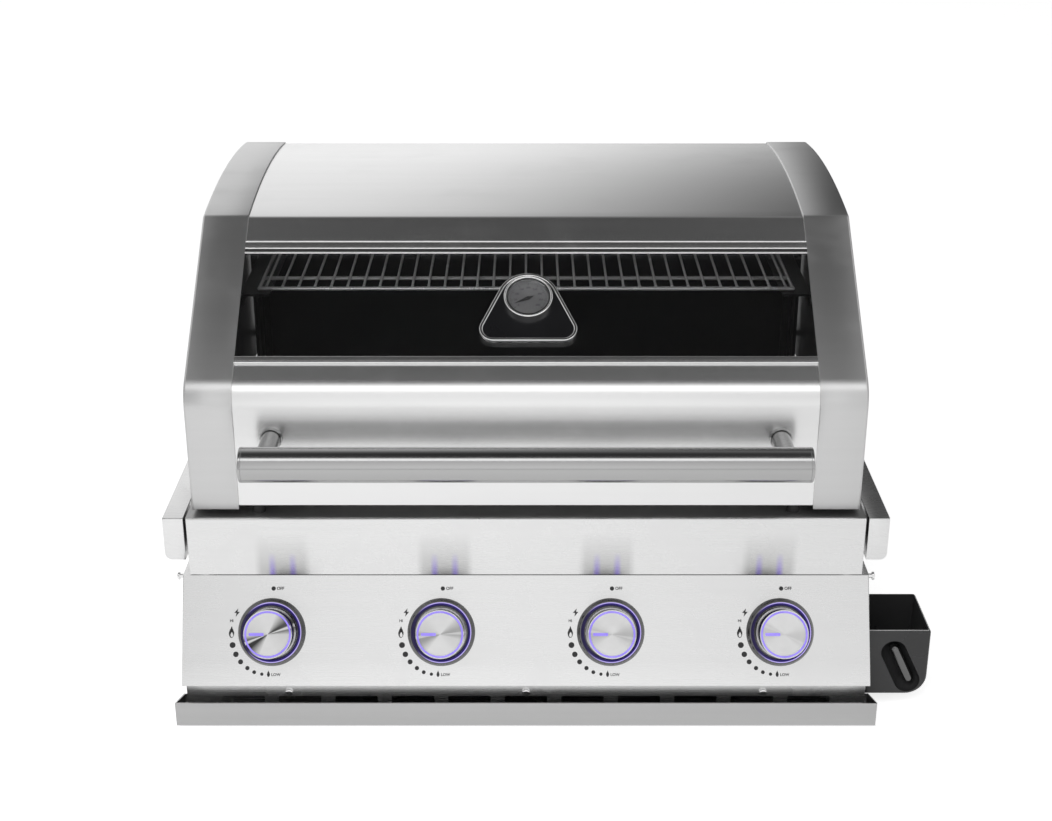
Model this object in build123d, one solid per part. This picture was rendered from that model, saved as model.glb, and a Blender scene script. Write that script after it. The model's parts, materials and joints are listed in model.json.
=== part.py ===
from build123d import *
import os
from math import asin, atan2, cos, hypot, radians, sin, tan

# Built in gas grill with a windowed hood, four lit knobs and a pull-out drip tray.
# Heights are measured from the hood's lower edge and depths from the hood's front face;
# each piece is moved to the frame at the centre of the chassis base when it is written.

# Overall sizes
hood_width = 748.0
hood_depth = 528.0
fascia_width = 760.0
panel_width = 776.0
tray_front_width = 796.0
flange_span = 812.0
firebox_width = 740.0
firebox_front = 45.0
firebox_back_inset = 28.0
base_depth_below = 252.0

# Sheet and fits
sheet = 1.5
thick_sheet = 2.0
touch_gap = 0.3
shaft_fit = 0.05
overrun = 5.0

# Hood outline
slope_corner_height = 136.2
slope_angle = 37.3
slope_length = 237.0
front_bend_radius = 36.0
crest_rise = 15.5
rear_rise = 7.5
crest_share = 0.56
rear_bend_radius = 22.0
rear_lip_drop = 45.0
outline_tail = 30.0
cap_width = 53.0
cap_proud = 2.0
cap_drop = 3.0
skin_return = 15.0
inner_panel_inset = 14.0
inner_panel_top = 34.0

# Window, measured up the slope from its lower corner
window_low = 46.6
window_high = 184.7
glass_thickness = 4.0
glass_margin = 9.0
trim_low_start = 37.2
trim_top_end = 203.6
trim_base = 1.0
trim_ridge = 2.6
bead_width = 2.8
bead_height = 1.7
trim_gap = 3.0
trim_bevel = 0.9

# Handle
handle_diameter = 38.0
handle_length = 608.0
handle_reach = 70.6
handle_height = 83.4
handle_wall = 2.0
handle_cap = 3.0
post_diameter = 21.4
post_inset = 24.0

# Thermometer and its plate
badge_offset = 2.5
gauge_height = 121.1
badge_top_radius = 35.0
badge_corner_radius = 16.0
badge_half_base = 38.5
badge_base_height = 82.0
badge_depth = 5.0
badge_border = 3.6
badge_recess = 0.8
gauge_radius = 27.5
gauge_ring_width = 4.6
gauge_depth = 7.2
gauge_round = 1.4
dial_thickness = 0.8
dial_seat = 0.4
lens_thickness = 1.4
lens_drop = 1.2
needle_length = 17.0
needle_tail = 7.0
needle_width = 1.6
needle_thickness = 0.5
needle_angle = 205.0
needle_hub_radius = 2.0
needle_lift = 0.6
spindle_radius = 0.55
stem_radius = 4.0
stem_bore_clear = 0.2
probe_radius = 2.5
probe_length = 46.0
nut_width = 17.0
nut_height = 5.0

# Hinge
pivot_inset = 38.0
pivot_height = 25.0
pin_radius = 5.0
pin_head_radius = 8.0
pin_head = 3.0
bracket_thickness = 4.0
bracket_width = 26.0
bracket_crown = 12.0
bracket_inset = 4.0

# Ledge, fascia and flanges
ledge_drop = 9.5
fascia_reach = 12.4
fascia_foot = 79.8
flange_gap = 3.0
flange_back_inset = 66.0
flange_web = 49.0
lip_height = 51.5
lip_round = 8.0
bumper_radius = 7.0
bumper_spacing = 600.0

# Control panel
panel_foot_reach = 66.8
panel_foot_rise = 36.0
panel_return = 12.0
panel_wing_depth = 80.0
knob_share = 0.515
knob_pitch = 191.2
knob_count = 4

# Knobs, measured out from the panel's face along the knob's axis
bezel_radius = 38.2
bezel_top_radius = 34.6
bezel_bore = 33.2
bezel_height = 8.0
bezel_floor = 1.5
bezel_spigot = 27.6
spigot_depth = 5.0
spigot_clear = 0.4
light_outer = 32.9
light_inner = 30.2
light_height = 4.6
knob_radius = 26.8
knob_skirt_radius = 28.0
knob_skirt = 4.0
knob_height = 25.5
knob_lift = 6.5
knob_rim = 2.2
knob_dish = 0.8
knob_wall = 2.6
knob_boss = 7.0
knob_push = 4.0
stem_shaft = 4.0
stem_hole = 7.0
stem_flat = 0.9

# Gas train
valve_face = 12.0
valve_length = 38.0
valve_radius = 11.5
valve_bonnet_radius = 8.5
plug_radius = 6.0
plug_length = 20.0
plug_seat = 10.0
plug_seam_angle = 25.0
valve_drop = 34.0
manifold_radius = 11.0
manifold_offset = 28.0
manifold_half = 350.0
jet_radius = 5.0
jet_tip = 24.0
burner_drop = 156.0
burner_radius = 13.0
burner_wall = 1.5
burner_mouth = 20.0
burner_back_inset = 68.0
port_count = 22
port_width = 2.0
port_height = 5.0
inlet_radius = 7.0
inlet_end_inset = 25.0
inlet_fitting_radius = 10.5
inlet_fitting_length = 18.0
electrode_radius = 3.5
electrode_length = 26.0
electrode_start = 95.0
electrode_wire = 0.9
electrode_wire_length = 12.0
supply_box = (92.0, 44.0, 26.0)
supply_box_place = (-190.0, 6.0)

# Cooking box
rim_drop = 20.0
rim_width = 18.5
liner_half = 340.0
liner_front = 65.0
liner_back_inset = 48.0
liner_foot = 172.0
liner_flange = 18.0
grate_ledge_drop = 42.0
tamer_ledge_drop = 104.0
ledge_width = 14.0
grate_count = 3
grate_width = 223.0
grate_gap = 2.0
grate_height = 13.0
grate_bar = 6.0
grate_bars = 15
grate_play = 1.5
tamer_half_width = 50.0
tamer_rise = 30.0
rear_panel_half = 358.0
rear_panel_inset = 32.5
rear_panel_top = 215.0
rear_panel_fold = 16.0

# Warming rack
rack_height = 170.7
rack_depth = 190.0
rack_mid_step = 40.0
rack_back_inset = 78.0
rack_half = 326.0
rack_wires = 33
rack_edge = 9.2
rack_wire_radius = 1.7
rack_bar_radius = 2.4
rack_sink = 0.6
support_inset = 344.0
support_sheet = 3.0
support_foot_depth = 24.0
support_arm_height = 14.0
support_leg_step = 100.0

# Vent plate and drip tray
vent_reach = 50.0
vent_height = 44.5
vent_floor_step = 16.2
vent_slots = 11
vent_pitch = 64.5
vent_slot = 48.5
slot_height = 10.0
slot_rise = 3.0
tray_height = 30.0
tray_clearance = 6.3
tray_back_reach = 17.5
tray_back_wall = 12.0
tray_rear_inset = 58.0
pan_half = 352.0
pan_height = 14.7
runner_place = 300.0
runner_width = 14.0

# Panel screws
screw_radius = 2.5
screw_head_radius = 4.5
screw_head = 2.6
screw_rise = 18.2
vent_screw_spacing = 270.0
stud_drop = 87.0
stud_reach = 2.0
stud_stand = 5.5
stud_shank = 12.0

# Cap catcher
catcher_width = 76.5
catcher_front = 17.0
catcher_back = 72.0
catcher_height = 84.5
catcher_drop = 5.5
catcher_wall = 2.5
catcher_corner = 24.0
catcher_edge = 5.0
recess_long = 30.0
recess_round = 15.0
recess_place_shares = (0.616, 0.379)
recess_tilt = -64.2
recess_sink = 3.0
claw_long = 26.0
claw_round = 6.5
claw_shift = -3.0
catcher_screw_rise = 50.0
catcher_screw_spacing = 44.0

# Lesser radii
edge_round = 1.2
bend_round = 2.0

# Places that follow the overall sizes
firebox_back = hood_depth - firebox_back_inset
pivot_depth = hood_depth - pivot_inset
flange_back = hood_depth - flange_back_inset
burner_back = hood_depth - burner_back_inset
inlet_end = hood_depth - inlet_end_inset
liner_back = hood_depth - liner_back_inset
rear_panel_back = hood_depth - rear_panel_inset
rack_back = hood_depth - rack_back_inset
rack_front = rack_back - rack_depth
rack_pitch = 2 * (rack_half - rack_edge) / (rack_wires - 1)
support_leg_place = rack_front + support_leg_step
tray_rear = hood_depth - tray_rear_inset
tray_foot = base_depth_below - tray_clearance
tray_top = tray_foot - tray_height
vent_floor = tray_foot - vent_floor_step
vent_top = vent_floor - vent_height
slot_foot = vent_floor - slot_rise
slot_top = slot_foot - slot_height
screw_drop = vent_floor - screw_rise
panel_foot_drop = vent_floor - panel_foot_rise
catcher_foot = vent_floor + catcher_drop
catcher_top = catcher_foot - catcher_height
post_half = handle_length / 2 - post_inset

slope = radians(slope_angle)
hood_half = hood_width / 2
firebox_half = firebox_width / 2
fascia_half = fascia_width / 2
panel_half = panel_width / 2
cap_inner = hood_half - cap_width
side_wall_inner = hood_half - thick_sheet
base_middle = (firebox_front + firebox_back) / 2
to_frame = Pos(0, -base_middle, base_depth_below)
slope_plane = Plane(
    origin=(0, 0, slope_corner_height), x_dir=(1, 0, 0), z_dir=(0, -sin(slope), cos(slope))
)
panel_lean = atan2(panel_foot_reach - fascia_reach, panel_foot_drop - fascia_foot)
panel_length = hypot(panel_foot_reach - fascia_reach, panel_foot_drop - fascia_foot)
knob_places = [(i - (knob_count - 1) / 2) * knob_pitch for i in range(knob_count)]

os.makedirs("parts", exist_ok=True)


def save(name, shape):
    export_step(to_frame * shape, f"parts/{name}.step")


def block(x, y, z):
    """A box from three (low, high) pairs."""
    size = (x[1] - x[0], y[1] - y[0], z[1] - z[0])
    return Pos(x[0], y[0], z[0]) * Box(*size, align=(Align.MIN, Align.MIN, Align.MIN))


def rod(start, end, radius):
    """A round bar between two points."""
    way = Vector(*end) - Vector(*start)
    return Plane(origin=start, z_dir=way) * Cylinder(
        radius, way.length, align=(Align.CENTER, Align.CENTER, Align.MIN)
    )


def side_prism(points, x_low, x_high):
    """A flat outline in depth and height, thickened along the width."""
    face = make_face(Polyline(*[(0, y, z) for y, z in points], close=True))
    return Pos(x_low, 0, 0) * extrude(face, amount=x_high - x_low, dir=(1, 0, 0))


def mirrored(shape):
    return mirror(shape, about=Plane.YZ)


def fuse(first, *others):
    result = first
    for other in others:
        result = result + other
    return result


# Hood shell

fold_y = slope_length * cos(slope)
fold_z = slope_corner_height + slope_length * sin(slope)
crest_y = fold_y + (hood_depth - rear_bend_radius - fold_y) * crest_share
rear_z = fold_z + rear_rise


def hood_outline(outset):
    """The hood's side outline, moved out by outset, as a face across the width."""
    turn = radians(90) - slope
    bend_reach = front_bend_radius * tan(turn / 2)
    bend_foot = slope_corner_height - bend_reach
    bend_start = (0, bend_foot)
    bend_middle = (
        front_bend_radius * (1 - cos(turn / 2)),
        bend_foot + front_bend_radius * sin(turn / 2),
    )
    bend_end = (bend_reach * cos(slope), slope_corner_height + bend_reach * sin(slope))
    rear_turn = (hood_depth - rear_bend_radius, rear_z - rear_bend_radius)
    rear_top = (hood_depth - rear_bend_radius, rear_z)
    rear_middle = (
        rear_turn[0] + rear_bend_radius * sin(radians(45)),
        rear_turn[1] + rear_bend_radius * cos(radians(45)),
    )
    rear_end = (hood_depth, rear_turn[1])
    line = Line((0, -outline_tail), bend_start)
    line += ThreePointArc(bend_start, bend_middle, bend_end)
    line += Line(bend_end, (fold_y, fold_z))
    line += ThreePointArc((fold_y, fold_z), (crest_y, fold_z + crest_rise), rear_top)
    line += ThreePointArc(rear_top, rear_middle, rear_end)
    line += Polyline(rear_end, (hood_depth, -outline_tail), (0, -outline_tail))
    face = make_face(line)
    if outset:
        face = offset(face, amount=outset, kind=Kind.INTERSECTION)
    return Plane.YZ * face


def hood_block(outset, half):
    return Pos(-half, 0, 0) * extrude(hood_outline(outset), amount=2 * half, dir=(1, 0, 0))


def hood_band(outer, inner, half):
    """A bent sheet that follows the hood's outline, open below and behind."""
    band = hood_block(outer, half) - hood_block(inner, half + overrun)
    wide = (-half - overrun, half + overrun)
    reach = hood_depth + 2 * outline_tail
    band -= block(wide, (-outline_tail, reach), (-2 * outline_tail, 0))
    rear_open = rear_z - rear_lip_drop
    return band - block(wide, (hood_depth / 2, reach), (-overrun, rear_open))


def on_slope(shape):
    return slope_plane * shape


def slope_box(x, t, h):
    """A box given by its width, its stretch up the slope and its height off the slope."""
    return on_slope(block(x, t, h))


skin_half = side_wall_inner
skin = hood_band(0, -sheet, skin_half)
skin -= slope_box(
    (-cap_inner - overrun, cap_inner + overrun),
    (trim_low_start + bead_width, window_high + bead_width),
    (-overrun, overrun),
)
skin += block((-skin_half, skin_half), (0, skin_return), (0, sheet))
save("hood_skin", skin)

inner_panel = hood_band(-inner_panel_inset, -inner_panel_inset - sheet, side_wall_inner)
inner_panel -= slope_box(
    (-hood_half, hood_half), (inner_panel_top, slope_length * 2), (-slope_length, slope_length)
)
inner_panel -= block((-hood_half, hood_half), (-overrun, hood_depth), (-overrun, sheet))
inner_panel -= block((-hood_half, hood_half), (base_middle, hood_depth * 2), (0, hood_depth))
save("hood_inner_panel", inner_panel)


def side_cap():
    """The right side cap: a flat side wall with a band that wraps over the skin's edge."""
    outline = hood_outline(cap_proud)
    wall = Pos(side_wall_inner, 0, 0) * extrude(outline, amount=thick_sheet, dir=(1, 0, 0))
    solid = Pos(cap_inner, 0, 0) * extrude(outline, amount=cap_width, dir=(1, 0, 0))
    core = Pos(cap_inner - overrun, 0, 0) * extrude(
        hood_outline(0), amount=cap_width + 2 * overrun, dir=(1, 0, 0)
    )
    band = solid - core
    reach = (-outline_tail, hood_depth + 2 * outline_tail)
    band -= block((0, flange_span), (hood_depth / 2, reach[1]), (-overrun, rear_z - rear_lip_drop))
    cap = wall + band
    cap -= block((0, flange_span), reach, (-2 * outline_tail, -cap_drop))
    cap -= Pos(hood_half, pivot_depth, pivot_height) * Rot(0, 90, 0) * Cylinder(
        pin_radius + shaft_fit, 2 * cap_width
    )
    return cap


cap = side_cap()
save("hood_side_right", cap)
save("hood_side_left", mirrored(cap))

# Window and its trims

glass = slope_box(
    (-cap_inner - glass_margin, cap_inner + glass_margin),
    (window_low - glass_margin, window_high + glass_margin),
    (-sheet - glass_thickness, -sheet),
)
stem_place = Pos(badge_offset, gauge_height, 0)
stem_hole_cut = on_slope(stem_place * Cylinder(stem_radius + stem_bore_clear, 4 * badge_depth))
save("window_glass", glass - stem_hole_cut)


def beveled(shape, size):
    """Breaks the two long upper edges of a strip that lies along the width."""
    top = shape.faces().sort_by(Axis.Z)[-1]
    long_edges = top.edges().filter_by(GeomType.LINE).sort_by(SortBy.LENGTH)[-2:]
    return chamfer(long_edges, size)


def strip(t_low, t_high, height):
    bar = block((-cap_inner, cap_inner), (t_low, t_high), (0, height))
    return on_slope(beveled(bar, trim_bevel))


upper_base = slope_box((-cap_inner, cap_inner), (window_high, trim_top_end), (0, trim_base))
upper_band = strip(window_high + bead_width + trim_gap, trim_top_end, trim_ridge)
upper_bead = strip(window_high, window_high + bead_width, bead_height)
save("window_trim_top", fuse(upper_base, upper_band, upper_bead))

lower_band = strip(trim_low_start, window_low, trim_ridge)
lower_lip = strip(trim_low_start, trim_low_start + bead_width, trim_ridge + trim_bevel)
save("window_trim_bottom", lower_band + lower_lip)

# Handle

handle_radius = handle_diameter / 2
bar_center = (0, -handle_reach, handle_height)
along_x = Rot(0, 90, 0)
tube_length = handle_length - 2 * handle_cap
bar = Pos(*bar_center) * along_x * (
    Cylinder(handle_radius, tube_length)
    - Cylinder(handle_radius - handle_wall, tube_length + overrun)
)
save("handle_bar", bar)

end_cap = Cylinder(handle_radius, handle_cap)
end_cap = fillet(end_cap.edges().sort_by(Axis.Z)[-1], edge_round)
end_cap = Pos(*bar_center) * Pos((tube_length + handle_cap) / 2, 0, 0) * along_x * end_cap
save("handle_end_caps", Compound([end_cap, mirrored(end_cap)]))

post = rod(
    (post_half, 0, handle_height),
    (post_half, -handle_reach, handle_height),
    post_diameter / 2,
)
post -= Pos(*bar_center) * along_x * Cylinder(handle_radius, handle_length)
save("handle_posts", Compound([post, mirrored(post)]))

# Thermometer


def badge_outline(inset):
    top = Pos(0, gauge_height) * Circle(badge_top_radius - inset)
    corners = [
        Pos(side * badge_half_base, badge_base_height) * Circle(badge_corner_radius - inset)
        for side in (-1, 1)
    ]
    edges = top.edges() + corners[0].edges() + corners[1].edges()
    return Pos(badge_offset, 0) * make_hull(edges)


badge_back = -sheet
badge_front = badge_back + badge_depth
gauge_seat = badge_front - badge_recess
badge = Pos(0, 0, badge_back) * extrude(badge_outline(0), amount=badge_depth)
field = Pos(0, 0, gauge_seat) * extrude(badge_outline(badge_border), amount=badge_depth)
save("thermometer_plate", on_slope(badge - field) - stem_hole_cut)

ring_outer = Cylinder(gauge_radius, gauge_depth)
ring_outer = fillet(ring_outer.edges().sort_by(Axis.Z)[-1], gauge_round)
dial_radius = gauge_radius - gauge_ring_width
ring = ring_outer - Pos(0, 0, dial_seat) * Cylinder(dial_radius, gauge_depth)
ring -= Cylinder(stem_radius + stem_bore_clear, 2 * gauge_depth)
gauge_place = stem_place * Pos(0, 0, gauge_seat)
save("thermometer_bezel", on_slope(gauge_place * Pos(0, 0, gauge_depth / 2) * ring))

dial = Cylinder(dial_radius, dial_thickness) - Cylinder(2 * spindle_radius, 2 * dial_thickness)
dial_top = dial_seat + dial_thickness
dial_place = gauge_place * Pos(0, 0, dial_top - dial_thickness / 2)
save("thermometer_dial", on_slope(dial_place * dial))

needle_low = dial_top + needle_lift
blade = make_face(
    Polyline(
        (needle_length, 0),
        (0, needle_width),
        (-needle_tail, needle_width),
        (-needle_tail, -needle_width),
        (0, -needle_width),
        close=True,
    )
)
needle = Rot(0, 0, needle_angle) * extrude(blade, amount=needle_thickness)
needle += Cylinder(
    needle_hub_radius, 2 * needle_thickness, align=(Align.CENTER, Align.CENTER, Align.MIN)
)
spindle_length = needle_low - dial_seat + sheet
needle += Cylinder(
    spindle_radius, spindle_length, align=(Align.CENTER, Align.CENTER, Align.MAX)
)
save("thermometer_needle", on_slope(gauge_place * Pos(0, 0, needle_low) * needle))

lens = Cylinder(dial_radius, lens_thickness)
lens_place = gauge_place * Pos(0, 0, gauge_depth - lens_drop - lens_thickness / 2)
save("thermometer_lens", on_slope(lens_place * lens))

nut_top = badge_back - glass_thickness
stem_top = gauge_seat + dial_seat
hang = (Align.CENTER, Align.CENTER, Align.MAX)
thread = Pos(0, 0, stem_top) * Cylinder(stem_radius, stem_top - nut_top + nut_height, align=hang)
nut = Pos(0, 0, nut_top) * extrude(RegularPolygon(nut_width / 2, 6), amount=-nut_height)
probe = Pos(0, 0, nut_top - nut_height) * Cylinder(probe_radius, probe_length, align=hang)
bore = Pos(0, 0, stem_top) * Cylinder(2 * spindle_radius, 2 * sheet, align=hang)
stem = fuse(thread, nut, probe) - bore
save("thermometer_stem", on_slope(stem_place * stem))

# Firebox shell, liner and rear panel

rim_top = -rim_drop
shell_top = -ledge_drop - sheet
side_span = (-firebox_half, firebox_half)
inner_span = (-firebox_half + sheet, firebox_half - sheet)
shell = block(side_span, (firebox_front, firebox_back), (-base_depth_below, shell_top))
shell -= block(
    inner_span,
    (firebox_front + sheet, firebox_back - sheet),
    (-base_depth_below + sheet, shell_top + overrun),
)
rim = block(
    inner_span, (firebox_front + sheet, firebox_back - sheet), (rim_top - sheet, rim_top)
)
rim -= block(
    (inner_span[0] + rim_width, inner_span[1] - rim_width),
    (firebox_front + sheet + rim_width, firebox_back - sheet - rim_width),
    (rim_top - 2 * sheet, rim_top + sheet),
)
shell += rim
shell -= block(
    inner_span,
    (firebox_front - overrun, firebox_front + sheet + overrun),
    (-base_depth_below + sheet, -vent_floor),
)
tube_holes = [
    Pos(x, (burner_mouth + liner_front) / 2 + overrun, -burner_drop)
    * Rot(90, 0, 0)
    * Cylinder(burner_radius + touch_gap, 2 * (liner_front - firebox_front))
    for x in knob_places
]
for hole in tube_holes:
    shell -= hole
save("firebox_shell", shell)

liner_top = rim_top + sheet
liner = block(
    (-liner_half, liner_half), (liner_front, liner_back), (-liner_foot, liner_top)
)
liner += block(
    (-liner_half - liner_flange, liner_half + liner_flange),
    (liner_front - liner_flange + 2 * sheet, liner_back + liner_flange / 2),
    (rim_top, liner_top),
)
inside_x = (-liner_half + sheet, liner_half - sheet)
inside_y = (liner_front + sheet, liner_back - sheet)
liner -= block(inside_x, inside_y, (-liner_foot - overrun, liner_top + overrun))
for drop in (grate_ledge_drop, tamer_ledge_drop):
    for y_low in (inside_y[0], inside_y[1] - ledge_width):
        liner += block(inside_x, (y_low, y_low + ledge_width), (-drop - sheet, -drop))
for hole in tube_holes:
    liner -= hole
save("firebox_liner", liner)

rear_panel = block(
    (-rear_panel_half, rear_panel_half),
    (rear_panel_back - sheet, rear_panel_back),
    (rim_top, rear_panel_top),
)
rear_panel += block(
    (-rear_panel_half, rear_panel_half),
    (rear_panel_back - rear_panel_fold, rear_panel_back),
    (rear_panel_top - sheet, rear_panel_top),
)
save("rear_panel", rear_panel)

# Ledge, fascia and side flanges

ledge_top = -ledge_drop
fascia = block(
    (-fascia_half, fascia_half), (-fascia_reach, firebox_front), (-fascia_foot, ledge_top)
)
front_edge = fascia.edges().filter_by(Axis.X).sort_by(Axis.Z)[-2:].sort_by(Axis.Y)[0]
fascia = fillet(front_edge, bend_round)
fascia -= block(
    (-fascia_half + sheet, fascia_half - sheet),
    (-fascia_reach + sheet, firebox_front + overrun),
    (-fascia_foot - overrun, ledge_top - sheet),
)
save("front_fascia", fascia)


def side_flange():
    """The right flange: a web on the firebox, a flat that rests on the counter, a front lip."""
    notch = fascia_half + flange_gap
    edge = flange_span / 2
    flat = block(
        (firebox_half, edge), (-fascia_reach, flange_back), (ledge_top - sheet, ledge_top)
    )
    flat -= block(
        (0, notch), (-2 * fascia_reach, firebox_front + flange_gap), (-flange_web, overrun)
    )
    web = block(
        (firebox_half, firebox_half + sheet),
        (panel_wing_depth + flange_gap, flange_back),
        (ledge_top - flange_web, ledge_top),
    )
    lip = block(
        (notch, edge), (-fascia_reach, -fascia_reach + sheet), (ledge_top - lip_height, ledge_top)
    )
    corner = lip.edges().filter_by(Axis.Y).sort_by(Axis.Z)[:2].sort_by(Axis.X)[-1]
    lip = fillet(corner, lip_round)
    return fuse(flat, web, lip)


flange = side_flange()
save("side_flange_right", flange)
save("side_flange_left", mirrored(flange))

bumper = Cylinder(
    bumper_radius,
    ledge_drop - touch_gap,
    align=(Align.CENTER, Align.CENTER, Align.MIN),
)
bumper = fillet(bumper.edges().sort_by(Axis.Z)[-1], edge_round)
bumpers = [Pos(s * bumper_spacing / 2, bumper_radius + sheet, ledge_top) * bumper for s in (-1, 1)]
save("hood_bumpers", Compound(bumpers))

# Hinge

bracket_x = firebox_half - bracket_inset - bracket_thickness
bracket = block(
    (bracket_x, bracket_x + bracket_thickness),
    (firebox_back - sheet - bracket_width, firebox_back - sheet),
    (rim_top, pivot_height + bracket_crown),
)
crown_edges = bracket.edges().filter_by(Axis.X).sort_by(Axis.Z)[-2:]
bracket = fillet(crown_edges, bracket_crown / 2)
pivot = Pos(0, pivot_depth, pivot_height)
bracket -= pivot * along_x * Cylinder(pin_radius + shaft_fit, flange_span)
save("hinge_brackets", Compound([bracket, mirrored(bracket)]))

pin = rod(
    (bracket_x - sheet, pivot_depth, pivot_height),
    (hood_half + touch_gap + pin_head, pivot_depth, pivot_height),
    pin_radius,
)
head = rod(
    (hood_half + touch_gap, pivot_depth, pivot_height),
    (hood_half + touch_gap + pin_head, pivot_depth, pivot_height),
    pin_head_radius,
)
head = fillet(head.edges().sort_by(Axis.X)[-1], edge_round)
pin += head
save("hinge_pins", Compound([pin, mirrored(pin)]))

# Screws, each given by a plane whose Z axis points out of its head


def pan_head(head_length, shank_length):
    """A pan-head screw along +Z, its head from 0 up and its shank below."""
    top = Cylinder(screw_head_radius, head_length, align=(Align.CENTER, Align.CENTER, Align.MIN))
    top = fillet(top.edges().sort_by(Axis.Z)[-1], head_length / 3)
    return top + Cylinder(
        screw_radius, shank_length, align=(Align.CENTER, Align.CENTER, Align.MAX)
    )


vent_places = [
    Plane(origin=(x, -vent_reach, -screw_drop), x_dir=(1, 0, 0), z_dir=(0, -1, 0))
    for x in (-vent_screw_spacing, 0, vent_screw_spacing)
]
stud_places = [
    Plane(
        origin=(side * (panel_half + stud_stand), -stud_reach, -stud_drop),
        x_dir=(0, 1, 0),
        z_dir=(side, 0, 0),
    )
    for side in (-1, 1)
]
catcher_places = [
    Plane(
        origin=(
            panel_half + catcher_wall,
            (catcher_back - catcher_front + side * catcher_screw_spacing) / 2,
            catcher_screw_rise - catcher_foot,
        ),
        x_dir=(0, 1, 0),
        z_dir=(1, 0, 0),
    )
    for side in (-1, 1)
]
screws = [place * pan_head(screw_head, thick_sheet * 2) for place in vent_places]
screws += [place * pan_head(screw_head, stud_stand + stud_shank) for place in stud_places]
screws += [
    place * pan_head(screw_head, catcher_wall + thick_sheet * 2) for place in catcher_places
]
save("panel_screws", Compound(screws))
screw_holes = [
    place * Cylinder(screw_radius, 2 * stud_shank)
    for place in vent_places + stud_places + catcher_places
]

# Control panel

lean_out = (0, -cos(panel_lean), sin(panel_lean))
knob_y = -fascia_reach - knob_share * panel_length * sin(panel_lean)
knob_z = -fascia_foot - knob_share * panel_length * cos(panel_lean)


def knob_plane(x):
    return Plane(origin=(x, knob_y, knob_z), x_dir=(1, 0, 0), z_dir=lean_out)


wing_back = panel_wing_depth
panel_outline = [
    (-fascia_reach, -fascia_foot),
    (-panel_foot_reach, -panel_foot_drop),
    (wing_back, -panel_foot_drop),
    (wing_back, -fascia_foot),
]
panel = side_prism(panel_outline, -panel_half, panel_half)
lean_x = sheet / cos(panel_lean)
hollow_outline = [
    (-fascia_reach + lean_x - sheet * tan(panel_lean), -fascia_foot - sheet),
    (
        -panel_foot_reach + lean_x + sheet * tan(panel_lean),
        -panel_foot_drop + sheet,
    ),
    (wing_back - sheet, -panel_foot_drop + sheet),
    (wing_back - sheet, -fascia_foot - sheet),
]
panel -= side_prism(hollow_outline, -panel_half + sheet, panel_half - sheet)
panel -= block(
    (-panel_half + sheet, panel_half - sheet),
    (-panel_foot_reach + panel_return, wing_back + overrun),
    (-panel_foot_drop - overrun, -panel_foot_drop + 2 * sheet),
)
panel -= block(
    (-firebox_half, firebox_half), (firebox_front, wing_back + overrun), (-base_depth_below, 0)
)
for x in knob_places:
    panel -= knob_plane(x) * Cylinder(bezel_spigot + spigot_clear, 4 * sheet)
inlet_x = (firebox_half + panel_half - sheet) / 2
panel_drop = manifold_offset * cos(panel_lean)
manifold_y = knob_y + valve_drop * cos(panel_lean) - manifold_offset * sin(panel_lean)
manifold_z = knob_z - valve_drop * sin(panel_lean) - panel_drop
panel -= rod(
    (inlet_x, wing_back - overrun, manifold_z),
    (inlet_x, wing_back + overrun, manifold_z),
    inlet_radius + touch_gap,
)
long_edge = panel.edges().filter_by(Axis.X).sort_by(Axis.Y)[0]
panel = fillet(long_edge, edge_round)
for hole in screw_holes:
    panel -= hole
save("control_panel", panel)

# Vent plate under the panel, with its floor

vent_half = panel_half - sheet
vent = block((-vent_half, vent_half), (-vent_reach, -vent_reach + sheet), (-vent_floor, -vent_top))
vent += block(
    (-vent_half, vent_half), (-vent_reach, firebox_front), (-vent_floor, -vent_floor + sheet)
)
for i in range(vent_slots):
    x = (i - (vent_slots - 1) / 2) * vent_pitch
    vent -= block(
        (x - vent_slot / 2, x + vent_slot / 2),
        (-vent_reach - overrun, -vent_reach + overrun),
        (-slot_foot, -slot_top),
    )
for hole in screw_holes:
    vent -= hole
save("vent_plate", vent)


# Cap catcher with a bottle opener in its front

box_x = (panel_half, panel_half + catcher_width)
box_y = (-catcher_front, catcher_back)
box_z = (-catcher_foot, -catcher_top)


def catcher_body(inset):
    body = block(
        (box_x[0] + inset, box_x[1] - inset),
        (box_y[0] + inset, box_y[1] - inset),
        (box_z[0] + inset, box_z[1] + inset * 2),
    )
    upright = body.edges().filter_by(Axis.Z).sort_by(Axis.X)[-2:]
    body = fillet(upright, catcher_edge - inset)
    low_right = body.edges().filter_by(Axis.Y).group_by(Axis.Z)[0].sort_by(Axis.X)[-1]
    return fillet(low_right, catcher_corner - inset)


recess_center = (
    box_x[0] + catcher_width * recess_place_shares[0],
    box_y[0] + recess_sink,
    box_z[0] + (box_z[1] - box_z[0]) * recess_place_shares[1],
)
recess_frame = Pos(*recess_center) * Rot(0, -recess_tilt, 0)


def pod(long, round_radius):
    """A drop turned about X: a point at one end that swells into a ball at the other."""
    ball = long - round_radius
    run = long + ball
    flank = (run**2 + round_radius**2) / (2 * round_radius)
    half_turn = asin(run / flank) / 2
    flank_middle = (
        ball - flank * sin(half_turn),
        round_radius - flank + flank * cos(half_turn),
    )
    ball_middle = (
        ball + round_radius * cos(radians(45)),
        round_radius * sin(radians(45)),
    )
    line = ThreePointArc((-long, 0), flank_middle, (ball, round_radius))
    line += ThreePointArc((ball, round_radius), ball_middle, (long, 0))
    line += Line((long, 0), (-long, 0))
    return revolve(make_face(line), Axis.X, 360)


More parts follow.
